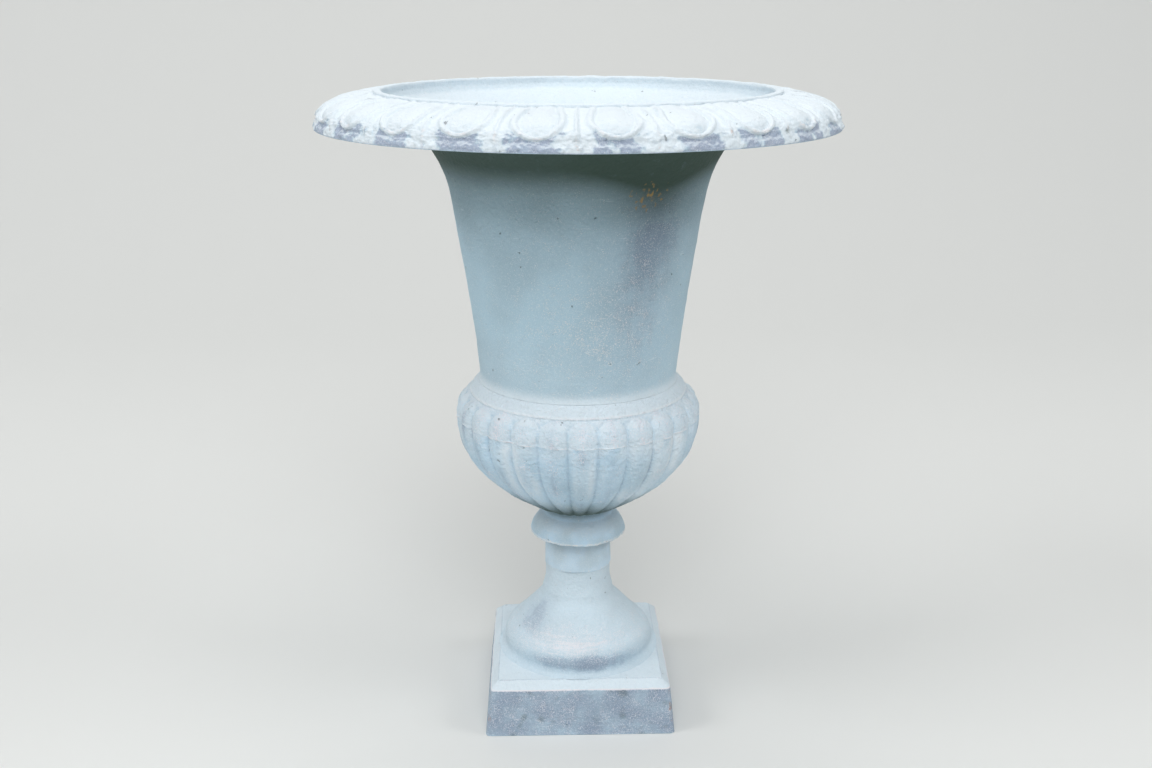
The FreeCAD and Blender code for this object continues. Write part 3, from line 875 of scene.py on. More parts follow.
    def weather(self, grid: Turned, places: np.ndarray, eggs: EggPattern, gaps: np.ndarray) -> None:
        """Marks the ring's wear, its painted shade in the egg grooves and a painted shadow line under the
        lip.

        Args:
            grid: The carved ring.
            places: The points of the plain ring in mm.
            eggs: Its pattern.
            gaps: Where the casting is broken between two shells.
        """
        ovolo = grid.rows("ovolo")
        face = grid.rows("ovolo", "cavetto")
        outer_side = grid.rows("ovolo", "cavetto", "edge")
        lower = self.lower_part.at(eggs.down) * ovolo + grid.rows("cavetto", "edge")
        shell_end = self.groove + self.band
        recess = self.recess_edge.at(eggs.outside - shell_end) * self.recess_side.at(eggs.offset)
        recess = recess * self.recess_down.at(eggs.down + self.recess_ragged.over(places))
        recess = recess * np.clip(1 - 0.8 * eggs.barb / self.barb_rise, 0, 1) * outer_side
        crests = eggs.ridges * self.crests_worn.at(eggs.down) * face
        grid.mark(Mark.WEAR, self.crest_wear * crests + self.edge_wear * lower * self.edge_spots.over(places))
        violet = self.flaked.at(recess + lumpy(places, self.flakes))
        violet = violet * self.flakes_down.at(eggs.down) * outer_side
        grid.mark(Mark.THIN, self.flake_thin * violet)
        grid.mark(Mark.WEAR, self.flake_wear * violet)
        outlined = self.outlined.at(eggs.outside, shell_end) * self.outlined_down.at(eggs.down) * face
        grid.mark(Mark.THIN, self.outlined_thin * outlined)
        grid.mark(Mark.THIN, self.spot_thin * self.thin_spots.over(places) * lower)
        edge = grid.rows("edge")
        under_edge = self.under_edge.at(grid.height, places[..., 2].min())
        grid.mark(Mark.THIN, self.under_thin * under_edge * edge)
        # Painted shade in the egg grooves and a painted shadow line just below the lip
        dirt_and_shade = self.groove_painted_shade * self.groove_shading.at(eggs.outside) * face
        grid.mark(Mark.GRIME_AND_SHADE, dirt_and_shade + self.lip_painted_shadow * self.lip_shadow_line.at(eggs.down) * ovolo)
        # Darker in the breaks between shells
        grid.mark(Mark.GRIME_AND_SHADE, self.gap_darkening * gaps * face)
        feet = np.exp(-((eggs.dart_line / self.dart_foot) ** 2)) * self.foot_down.at(eggs.down)
        grid.mark(Mark.RUST, self.foot_rust * feet * self.foot_spots.over(places) * face)
        grid.mark(Mark.PALE_AND_LIGHT, self.pale * outer_side * (1 - violet))

    def build(self) -> bpy.types.Object:
        """Builds the ring with its ornament.

        Returns:
            The piece.
        """
        low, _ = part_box("rim_ring")
        grid = Turned(self.outline(low.z / MM), self.columns)
        places = grid.places()
        eggs = self.pattern(grid, places)
        gaps = np.exp(-((eggs.dart_line / self.gap_half) ** 2)) * self.gap_height.at(eggs.down)
        gaps = gaps * self.gap_spots.over(places)
        lower = self.lower_part.at(eggs.down) * grid.rows("ovolo") + grid.rows("cavetto", "edge")
        rough = (lumpy(places, self.rough) - self.gap_depth * gaps) * lower
        relief = eggs.relief + lumpy(places, self.lumps) + rough
        grid.raise_by(relief * grid.rows("ovolo", "cavetto", "edge"))
        self.weather(grid, places, eggs, gaps)
        paint = ChalkPaint(
            "chalk_paint_rim", bleach=1.0, bleached_and_lit="#e6eff5", undercoat_and_shade="#9ea8be", bare="#efebec",
            thin_patches=0.0, pit_mm=11.0, pebble_depth_mm=2.0, grains=0.25)
        return dress(grid.mesh("rim_ring_casting"), paint.material(), "painted_iron", "rim_ring")


@dataclass
class TrumpetBody:
    """The plain trumpet-shaped body, a thin shell with its lip rolled up above the rim."""

    waist: float = 117.9
    waist_height: float = 428.0
    joint: float = 0.15
    fillet_height: float = 10.0
    fillet_reach: float = 3.4
    fillet_lean: float = 1.3
    cone_top: float = 149.6
    cone_top_height: float = 655.0
    cone_bow: float = 2.2
    seat_root: float = 226.0
    seat_height: float = 754.3
    flare_bow: float = 15.0
    seat_radius: float = 245.7
    seat_top: float = 759.8
    lip_radius: float = 231.7
    lip_top: float = 770.0
    lip_round: float = 1.6
    lip_bow: float = -0.45
    mouth_radius: float = 222.7
    mouth_round: float = 2.4
    mouth_bow: float = -0.7
    mouth_lean: float = 0.5
    mouth_depth: float = 8.0
    mouth_step: float = 10.7
    mouth_step_depth: float = 18.0
    mouth_step_bow: float = 1.4
    wall: float = 6.0
    inner_cone: float = 143.8
    inner_cone_height: float = 658.0
    inner_bow: float = -12.2
    throat: float = 92.9
    flange_top: float = 435.0
    columns: int = 720
    lumps: tuple[Lumps, ...] = (Lumps(95.0, 0.55, 11), Lumps(28.0, 0.22, 12), Lumps(8.0, 0.09, 13))
    lip_lumps: tuple[Lumps, ...] = (Lumps(22.0, 0.35, 14), Lumps(6.0, 0.22, 15))
    lumps_start: Fade = Fade(0.0, 8.0)
    # Painted shade under the overhanging rim, in a first band and a deeper one close under it
    shade: Fade = Fade(605.0, 665.0)
    rim_shade_paint: float = 0.32
    deep_shade: Fade = Fade(655.0, 700.0)
    deep_rim_shade_paint: float = 0.66
    patch: Spot = Spot(32.0, 21.0, 630.0, 95.0)
    # The patch is darkened a little, and near its top, inside the rim's painted shade, much more
    patch_dirt_and_shade: float = 0.1
    patch_top: Fade = Fade(622.0, 668.0)
    patch_top_shade_paint: float = 0.42
    patch_thin: float = 0.62
    patch_wear: float = 0.1
    low_patch: Spot = Spot(29.0, 26.0, 500.0, 70.0)
    low_patch_thin: float = 0.34
    flecks: Spot = Spot(28.0, 17.0, 664.0, 34.0)
    fleck_spots: Blotches = Blotches(5.0, 16, 0.1, 0.8)
    fleck_least: float = 0.62
    fleck_rust: float = 0.86
    brushed: Spot = Spot(14.0, 34.0, 510.0, 62.0)
    brushed_wear: float = 0.26
    # Painted light on the inner wall and just under the lip, on the wall above the waist and towards the
    # bottom of the body
    inside_painted_light: float = 0.2
    inside_light: Fade = Fade(560.0, 680.0)
    mouth_painted_light: float = 0.5
    mouth_light: Fade = Fade(746.0, 760.0)
    lip_pale: float = 0.9
    joint_painted_light: float = 0.6
    joint_light: Fade = Fade(16.0, 0.0)
    low_painted_light: float = 0.12
    low_light: Fade = Fade(520.0, 440.0)

    def outline(self) -> Outline:
        """The body's outline, up the outside, over the lip and down the inside."""
        outline = Outline(self.waist, self.waist_height)
        outline.line(self.waist, self.waist_height + self.joint, 1, "wall")
        outline.line(self.waist + self.fillet_lean, self.waist_height + self.fillet_height, 12, "wall")
        outline.arc(self.cone_top, self.cone_top_height, self.cone_bow, 74, "wall")
        outline.arc(self.seat_root, self.seat_height, self.flare_bow, 42, "flare")
        outline.line(self.seat_radius, self.seat_height, 4)
        outline.line(self.seat_radius, self.seat_top, 2)
        outline.line(self.lip_radius, self.seat_top)
        outline.line(self.lip_radius, self.lip_top - self.lip_round, 8, "lip")
        outline.arc(self.lip_radius - self.lip_round, self.lip_top, self.lip_bow, 4, "lip")
        outline.line(self.mouth_radius + self.mouth_round, self.lip_top, 6, "lip")
        outline.arc(self.mouth_radius, self.lip_top - self.mouth_round, self.mouth_bow, 5, "lip")
        outline.line(self.mouth_radius - self.mouth_lean, self.lip_top - self.mouth_depth, 5, "inside")
        step = self.mouth_radius - self.mouth_step
        outline.arc(step, self.lip_top - self.mouth_step_depth, self.mouth_step_bow, 9, "inside")
        outline.arc(self.inner_cone, self.inner_cone_height, self.inner_bow, 30, "inside")
        outline.line(self.waist - self.wall, self.flange_top, 29, "inside")
        outline.line(self.throat, self.flange_top, 4)
        outline.line(self.throat, self.waist_height)
        outline.line(self.waist, self.waist_height, 5)
        return outline

    def weather(self, grid: Turned, places: np.ndarray) -> None:
        """Marks the body's wear: painted shade under the rim, a thin dark patch with ochre flecks, a pale
        lip, and painted light inside the mouth, at the waist and low down.

        Args:
            grid: The finished body.
            places: The points of the smooth body in mm.
        """
        turn, height = grid.turn(), grid.height
        wall = grid.rows("wall", "flare")
        lip = grid.rows("lip")
        inside = grid.rows("inside")
        patch = self.patch.over(turn, height)
        low_patch = self.low_patch.over(turn, height)
        # Painted shade under the rim, and the patch's darkening, deeper where it reaches into that shade
        shade = self.rim_shade_paint * self.shade.at(height) + self.deep_rim_shade_paint * self.deep_shade.at(height)
        patch_dirt_and_shade = self.patch_dirt_and_shade + self.patch_top_shade_paint * self.patch_top.at(height)
        grid.mark(Mark.GRIME_AND_SHADE, (shade + patch_dirt_and_shade * patch) * wall)
        grid.mark(Mark.THIN, (self.patch_thin * patch + self.low_patch_thin * low_patch) * wall)
        flecks = self.flecks.over(turn, height) * at_least(self.fleck_least, self.fleck_spots.over(places))
        grid.mark(Mark.RUST, self.fleck_rust * flecks * wall)
        brushed = self.brushed_wear * self.brushed.over(turn, height)
        grid.mark(Mark.WEAR, (brushed + self.patch_wear * patch) * wall)
        # Painted light inside the mouth, at the waist and lower down the body
        lit = self.inside_painted_light * self.inside_light.at(height) + self.mouth_painted_light * self.mouth_light.at(height)
        grid.mark(Mark.PALE_AND_LIGHT, inside * lit + self.lip_pale * lip)
        at_joint = self.joint_painted_light * self.joint_light.at(height, self.waist_height)
        grid.mark(Mark.PALE_AND_LIGHT, (at_joint + self.low_painted_light * self.low_light.at(height)) * wall)

    def build(self) -> bpy.types.Object:
        """Builds the body.

        Returns:
            The piece.
        """
        grid = Turned(self.outline(), self.columns)
        places = grid.places()
        wall = grid.rows("wall", "flare")
        above_joint = self.lumps_start.at(grid.height, self.waist_height)
        lumps = lumpy(places, self.lumps) * (wall * above_joint + grid.rows("inside"))
        grid.raise_by(lumps + lumpy(places, self.lip_lumps) * grid.rows("lip"))
        near_waist = np.clip(1 - (grid.height - self.waist_height) / self.fillet_height, 0, 1)
        grid.radius = grid.radius + self.fillet_reach * near_waist**2 * wall
        self.weather(grid, places)
        paint = ChalkPaint(
            "chalk_paint_trumpet", body="#b6d3e2", shelter="#abc6d4", rust="#a8884f", patch_mm=110.0,
            pebble_depth_mm=1.6)
        return dress(grid.mesh("trumpet_casting"), paint.material(), "painted_iron", "trumpet_body")


@dataclass
class GadroonedBowl:
    """The bowl with its ring of gadroons below the mould line and their rounded tops above it."""

    base: float = 48.0
    base_height: float = 262.0
    girth: float = 148.6
    girth_height: float = 384.0
    curve_power: float = 2.32
    curve_points: int = 136
    curve_crowding: float = 1.3
    lobes: int = 26
    lobe_columns: int = 32
    lobe_turn: float = 0.6
    lobe_depth: float = 5.9
    lobe_round: float = 0.97
    lobe_pointed: float = 0.7
    depth_at_base: float = 0.06
    depth_soon: float = 0.44
    depth_later: float = 0.5
    soon: Fade = Fade(0.0, 0.09)
    later: Fade = Fade(0.0, 0.6)
    ledge_bottom: float = 1.2
    ledge_top: float = 1.8
    backing_inset: float = 5.2
    backing_bow: float = 3.2
    thumb_rise: float = 5.6
    thumb_rise_loss: float = 0.3
    thumb_top_height: float = 411.0
    thumb_arch: float = 12.5
    thumb_width: float = 1.01
    thumb_power: float = 2.4
    thumb_roundness: float = 0.6
    thumb_start: Fade = Fade(0.0, 13.0)
    crease: float = 131.6
    crease_height: float = 414.6
    crease_inset: float = 0.3
    crease_drop: float = 1.6
    crease_lean: float = 0.2
    shoulder_bow: float = -0.7
    fillet_reach: float = 3.4
    joint: float = 0.1
    waist: float = 117.9
    waist_height: float = 428.0
    wall: float = 7.0
    lobe_wall: float = 11.0
    inner_drop: float = 1.0
    floor: float = 271.0
    floor_inset: float = 4.0
    throat: float = 92.9
    rod_hole: float = 8.5
    boss: float = 33.0
    boss_bottom: float = 257.0
    seam_width: float = 2.0
    seam_height: float = 0.5
    seam_dip: float = 0.7
    seam_rise: float = 0.9
    seam_wander: Lumps = Lumps(24.0, 0.2, 25)
    seam_breaks: Lumps = Lumps(17.0, 0.8, 21)
    seam_mean: float = 0.45
    seam_least: float = 0.05
    lumps: tuple[Lumps, ...] = (Lumps(42.0, 0.42, 22), Lumps(13.0, 0.3, 23), Lumps(5.0, 0.17, 24))
    sand: Lumps = Lumps(3.2, 0.09, 30)
    sand_spots: Blotches = Blotches(30.0, 36, -0.7, 0.6)
    lumps_end: Fade = Fade(0.0, -8.0)
    crest_power: float = 1.2
    rubbed_sides: tuple[Spot, ...] = (Spot(18.0, 34.0), Spot(-42.0, 14.0))
    rubbed_least: float = 0.16
    rubbed_side: float = 0.3
    crest_wear: float = 0.95
    grain_wear: float = 0.3
    grain_spots: Blotches = Blotches(34.0, 28, -0.1, 0.7)
    crease_ridge: Ridge = Ridge(0.4, 3.2)
    crease_wear: float = 0.16
    crease_side_wear: float = 0.46
    crease_breaks: Blotches = Blotches(20.0, 37, -0.7, 0.5)
    seam_wear: float = 0.5
    # Painted shadow in the undercoat colour just below the mould line
    seam_shadow: Ridge = Ridge(-2.4, 3.0)
    seam_thin: float = 0.3
    # Painted shade in the undercoat colour in the valleys between lobes
    valley: Fade = Fade(0.8, 1.0)
    valley_thin: float = 0.4
    # Painted shade on the underside of the bowl, strongest low down
    under: Fade = Fade(312.0, 266.0)
    under_painted_shade: float = 0.95
    right_flank: Spot = Spot(46.0, 22.0)
    crest_thin: float = 0.5
    crest_spots: Blotches = Blotches(55.0, 26, -0.9, 0.5)
    flank_saved: float = 0.8
    # Painted shade in the undercoat colour in the recess round the thumbs' tops, under the crease
    recess: Fade = Fade(0.95, 1.1)
    recess_top: Fade = Fade(-1.0, -5.0)
    recess_thin: float = 0.2
    side_thin: float = 0.12
    thumb_spots: Blotches = Blotches(22.0, 29, -0.6, 0.5)
    thumb_thin: float = 0.4
    # Painted light on the shoulder, with a painted highlight along the crease ridge
    shoulder_ridge: Ridge = Ridge(1.0, 4.0)
    shoulder_painted_light: float = 0.78
    ridge_painted_highlight: float = 0.2
    gap: Fade = Fade(0.86, 1.06)
    gap_top: Fade = Fade(-2.0, -9.0)
    thumb_pale: float = 0.56
    gap_loss: float = 0.36
    flank_ridge: Ridge = Ridge(0.6, 0.7)
    lobe_pale: float = 0.22
    ridge_more: float = 0.3
    lobe_spots: Blotches = Blotches(60.0, 27, -0.5, 0.8)
    flank_pale: float = 0.26
    below_girth: Fade = Fade(-26.0, 0.0)
    girth_spots: Blotches = Blotches(20.0, 39, -1.2, 0.4)
    girth_pale: float = 0.4
    # Painted highlight along the mould line
    seam_painted_highlight: float = 0.5

    def rise(self, height: np.ndarray) -> np.ndarray:
        """How far up from base to girth a height is, from 0 to 1."""
        return np.clip((height - self.base_height) / (self.girth_height - self.base_height), 0, 1)

    def lower_radius(self, height: np.ndarray) -> np.ndarray:
        """Radius of the gadroons' crests at a height below the girth."""
        return self.base + (self.girth - self.base) * (1 - (1 - self.rise(height)) ** self.curve_power)

    def outline(self) -> Outline:
        """The bowl's outline through the crests of its lobes."""
        outline = Outline(self.base, self.base_height)
        share = 1 - np.linspace(1, 0, self.curve_points)[1:] ** self.curve_crowding
        heights = self.base_height + (self.girth_height - self.base_height) * share
        outline.curve(self.lower_radius(heights), heights, "gadroons")
        outline.line(self.girth, self.girth_height + self.ledge_bottom, 2, "thumbs")
        outline.line(self.girth - self.backing_inset, self.girth_height + self.ledge_top, 1, "thumbs")
        crease_bottom = self.crease_height - self.crease_drop
        outline.arc(self.crease - self.crease_inset, crease_bottom, -self.backing_bow, 32, "thumbs")
        outline.line(self.crease + self.crease_lean, self.crease_height, 3, "crease")
        joint_radius = self.waist + self.fillet_reach
        outline.arc(joint_radius, self.waist_height, self.shoulder_bow, 19, "shoulder")
        outline.line(joint_radius - self.joint, self.waist_height, 1)
        outline.line(self.throat, self.waist_height, 5)
        outline.line(self.throat, self.waist_height - self.wall, 2)
        outline.line(self.waist - self.wall, self.waist_height - self.wall)
        outline.line(self.crease - self.wall, self.crease_height - self.wall, 4, "inside")
        inner = heights[::-8][:-3]
        outline.curve(self.lower_radius(inner) - self.lobe_wall, inner - self.inner_drop, "inside")
        outline.line(self.base - self.floor_inset, self.floor, 11, "inside")
        outline.line(self.rod_hole, self.floor, 6, "inside")
        outline.line(self.rod_hole, self.boss_bottom)
        outline.line(self.boss, self.boss_bottom, 5)
        outline.line(self.boss, self.base_height, 2)
        outline.line(self.base, self.base_height)
        return outline

    def across(self, grid: Turned) -> np.ndarray:
        """How far across its lobe each direction is, from 0 on the crest to 1 in the valley."""
        turn = np.degrees(grid.azimuth)[None, :] - self.lobe_turn
        return np.abs((turn * self.lobes / 360 + 0.5) % 1 - 0.5) * 2

    def arch(self, across: np.ndarray, height: np.ndarray) -> np.ndarray:
        """How far out from the middle of its thumb each point is, with 1 on the thumb's edge."""
        below_top = np.clip((self.thumb_top_height - height) / self.thumb_arch, 0, 1)
        return np.hypot(across * self.thumb_width, 1 - below_top)

    def carve(self, grid: Turned) -> None:
        """Sinks the valleys between the lobes and raises their tops above the girth."""
        across = self.across(grid)
        circle = 1 - np.sqrt(1 - (self.lobe_round * across) ** 2)
        circle = circle / (1 - math.sqrt(1 - self.lobe_round**2))
        fall = self.lobe_pointed * across**2 + (1 - self.lobe_pointed) * circle
        share = self.rise(grid.height)
        depth = self.depth_at_base + self.depth_soon * self.soon.at(share)
        depth = self.lobe_depth * (depth + self.depth_later * self.later.at(share))
        thumbs_high = self.thumb_top_height - self.girth_height
        up_thumb = np.clip((grid.height - self.girth_height) / thumbs_high, 0, 1)
        arch = self.arch(across, grid.height)
        thumb = self.thumb_rise - self.thumb_rise_loss * up_thumb
        thumb = thumb * np.maximum(1 - arch**self.thumb_power, 0) ** self.thumb_roundness
        above = self.thumb_start.at(grid.height, self.girth_height)
        lobe_end = self.girth - self.lobe_depth * fall
        upper_radius = above * (grid.radius + thumb) + (1 - above) * lobe_end
        grid.raise_by(np.where(grid.rows("gadroons"), -fall * depth, 0))
        grid.radius = np.where(grid.rows("thumbs"), upper_radius, grid.radius)

    def weather(
            self, grid: Turned, places: np.ndarray, height: np.ndarray, seam: np.ndarray,
            seam_height: np.ndarray) -> None:
        """Marks the bowl's wear.

        Args:
            grid: The finished bowl.
            places: The points of the carved bowl in mm.
            height: The heights of the plain outline.
            seam: The mould line's share at each point.
            seam_height: The height of the mould line.
        """
        turn, across = grid.turn(), self.across(grid)
        arch = self.arch(across, height)
        lower = grid.rows("gadroons")
        upper = grid.rows("thumbs")
        one_side = sum(side.over(turn, 0) for side in self.rubbed_sides)
        rubbed = self.rubbed_least + self.rubbed_side * np.minimum(one_side, 1)
        crest = (1 - across) ** self.crest_power
        grains = self.grain_wear * self.grain_spots.over(places) * lower * (1 - across)
        crease = self.crease_ridge.at(height, self.crease_height) * grid.rows("crease", "shoulder", "thumbs")
        broken = one_side * self.crease_breaks.over(places)
        crease = crease * (self.crease_wear + self.crease_side_wear * broken)
        grid.mark(Mark.WEAR, self.crest_wear * rubbed * crest * upper + grains + crease)
        grid.mark(Mark.WEAR, self.seam_wear * seam)
        # Painted shadow under the mould line
        grid.mark(Mark.THIN, self.seam_thin * self.seam_shadow.at(height, seam_height) * lower)
        # Painted shade under the bowl
        under = self.under.at(height)
        grid.mark(Mark.GRIME_AND_SHADE, self.under_painted_shade * under * lower)
        # Painted shade in the valleys between lobes
        grid.mark(Mark.THIN, self.valley_thin * self.valley.at(across) * lower)
        flank = self.right_flank.over(turn, 0)
        crest_thin = self.crest_thin * crest * self.crest_spots.over(places) * (1 - self.flank_saved * flank)
        grid.mark(Mark.THIN, crest_thin * lower)
        # Painted shade in the recess under the crease, and thinner paint on the rubbed sides
        recess = self.recess.at(arch) * self.recess_top.at(height, self.crease_height)
        recess = self.recess_thin * recess + self.side_thin * one_side
        grid.mark(Mark.THIN, recess * grid.rows("thumbs", "shoulder"))
        grid.mark(Mark.THIN, self.thumb_thin * crest * self.thumb_spots.over(places) * upper)
        # Painted light on the shoulder and a painted highlight on the crease ridge
        ridge = self.ridge_painted_highlight * self.shoulder_ridge.at(height, self.crease_height)
        pale = (self.shoulder_painted_light + ridge) * grid.rows("crease", "shoulder")
        gap = self.gap.at(arch) * self.gap_top.at(height, self.crease_height)
        pale = pale + (self.thumb_pale - self.gap_loss * gap) * upper
        sides = self.lobe_pale + self.ridge_more * self.flank_ridge.at(across)
        sides = sides * self.lobe_spots.over(places)
        sides = (sides + self.flank_pale * flank) * (1 - under)
        near_girth = self.below_girth.at(height, self.girth_height) * self.girth_spots.over(places)
        pale = pale + (sides + self.girth_pale * near_girth) * lower
        # Painted highlight along the mould line
        grid.mark(Mark.PALE_AND_LIGHT, pale + self.seam_painted_highlight * seam)

    def build(self) -> bpy.types.Object:
        """Builds the bowl.

        Returns:
            The piece.
        """
        grid = Turned(self.outline(), self.lobes * self.lobe_columns)
        height = grid.height
        across = self.across(grid)
        self.carve(grid)
        places = grid.places()
        seam_height = self.girth_height + self.seam_height - self.seam_dip * across**4
        seam_height = seam_height + self.seam_wander.over(level(places))
        seam = bead(height, seam_height, self.seam_width) * grid.rows("gadroons", "thumbs")
        seam = seam * np.maximum(self.seam_mean + self.seam_breaks.over(places), self.seam_least)
        lumps = lumpy(places, self.lumps) + self.sand.over(places) * self.sand_spots.over(places)
        below_joint = self.lumps_end.at(height, self.waist_height)
        grid.raise_by(lumps * below_joint * grid.rows("gadroons", "thumbs", "crease", "shoulder"))
        grid.radius = grid.radius + self.seam_rise * seam
        self.weather(grid, places, height, seam, seam_height)
        paint = ChalkPaint(
            "chalk_paint_bowl", body="#c6e1f3", shelter="#b6d2e3", bare="#eceaf1", patch_mm=70.0, grains=0.8,
            pebble_depth_mm=3.5)
        return dress(grid.mesh("bowl_casting"), paint.material(), "painted_iron", "gadrooned_bowl")


@dataclass
class KnopCollar:
    """The sleeve with its overhanging knop and the short neck that carries the bowl."""

    sleeve: float = 41.1
    bottom: float = 182.0
    foot_inset: float = 0.5
    foot_swell: float = 0.3
    foot_rise: float = 0.8
    knop: float = 59.3
    knop_bottom: float = 226.0
    knop_edge: float = 2.6
    knop_bow: float = -3.2
    edge_inset: float = 1.0
    edge_lean: float = 0.2
    edge_bow: float = -0.8
    cove_drop: float = 2.0
    cove_reach: float = 3.0
    cove_rise: float = 1.2
    cove_bow: float = 0.8
    neck_bottom: float = 43.5
    neck_bottom_height: float = 251.0
    neck_top: float = 39.5
    top: float = 262.0
    bore: float = 33.6
    columns: int = 420
    lumps: tuple[Lumps, ...] = (Lumps(24.0, 0.35, 31), Lumps(7.0, 0.14, 32))
    ragged: tuple[Lumps, ...] = (Lumps(9.0, 0.3, 33), Lumps(3.6, 0.2, 34))
    sag: Lumps = Lumps(8.0, 0.45, 35)
    sag_start: Fade = Fade(-5.0, -1.0)
    ring: Ridge = Ridge(1.5, 4.0)
    ring_wear: float = 0.3
    edge_wear: float = 0.4
    # Painted shade under the knop, in the cove above the sleeve and on the neck under the bowl
    under_painted_shade: float = 0.7
    cove_shade: Fade = Fade(218.0, 227.0)
    cove_painted_shade: float = 0.45
    neck_shade: Fade = Fade(252.0, 260.0)
    neck_painted_shade: float = 0.6
    pale: float = 0.25

    def outline(self) -> Outline:
        """The collar's outline."""
        outline = Outline(self.sleeve - self.foot_inset, self.bottom)
        outline.line(self.sleeve + self.foot_swell, self.bottom + self.foot_rise, 3, "sleeve")
        outline.line(self.sleeve, self.knop_bottom - self.cove_drop, 35, "sleeve")
        cove_top = self.knop_bottom + self.cove_rise
        outline.arc(self.sleeve + self.cove_reach, cove_top, self.cove_bow, 6, "sleeve")
        outline.line(self.knop - self.edge_inset, self.knop_bottom, 12, "under")
        edge_top = self.knop_bottom + self.knop_edge
        outline.arc(self.knop - self.edge_lean, edge_top, self.edge_bow, 6, "edge")
        outline.arc(self.neck_bottom, self.neck_bottom_height, self.knop_bow, 25, "dome")
        outline.line(self.neck_top, self.top, 11, "neck")
        outline.line(self.bore, self.top, 2)
        outline.line(self.bore, self.bottom, 10)
        outline.line(self.sleeve - self.foot_inset, self.bottom)
        return outline

    def build(self) -> bpy.types.Object:
        """Builds the collar.

        Returns:
            The piece.
        """
        grid = Turned(self.outline(), self.columns)
        places = grid.places()
        outer = grid.rows("sleeve", "under", "edge", "dome", "neck")
        sleeve, under, edge = grid.rows("sleeve"), grid.rows("under"), grid.rows("edge")
        grid.raise_by(lumpy(places, self.lumps) * outer + lumpy(places, self.ragged) * edge)
        sag = np.maximum(self.sag.over(level(places)), 0) * self.sag_start.at(grid.radius, self.knop)
        grid.height = grid.height - sag * (edge | under)
        height = grid.height
        ring = self.ring.at(height, self.bottom) * sleeve
        grid.mark(Mark.WEAR, self.edge_wear * edge + self.ring_wear * ring)
        # Painted shade under the knop, in the cove above the sleeve and on the neck under the bowl
        cove = self.cove_painted_shade * self.cove_shade.at(height) * sleeve
        grid.mark(Mark.GRIME_AND_SHADE, self.under_painted_shade * under + cove)
        grid.mark(Mark.GRIME_AND_SHADE, self.neck_painted_shade * self.neck_shade.at(height) * outer)
        grid.mark(Mark.PALE_AND_LIGHT, self.pale * (edge | sleeve))
        paint = ChalkPaint("chalk_paint_collar", body="#c0dcef", patch_mm=40.0, blotch_mm=9.0, bleach=0.4)
        return dress(grid.mesh("collar_casting"), paint.material(), "painted_iron", "knop_collar")


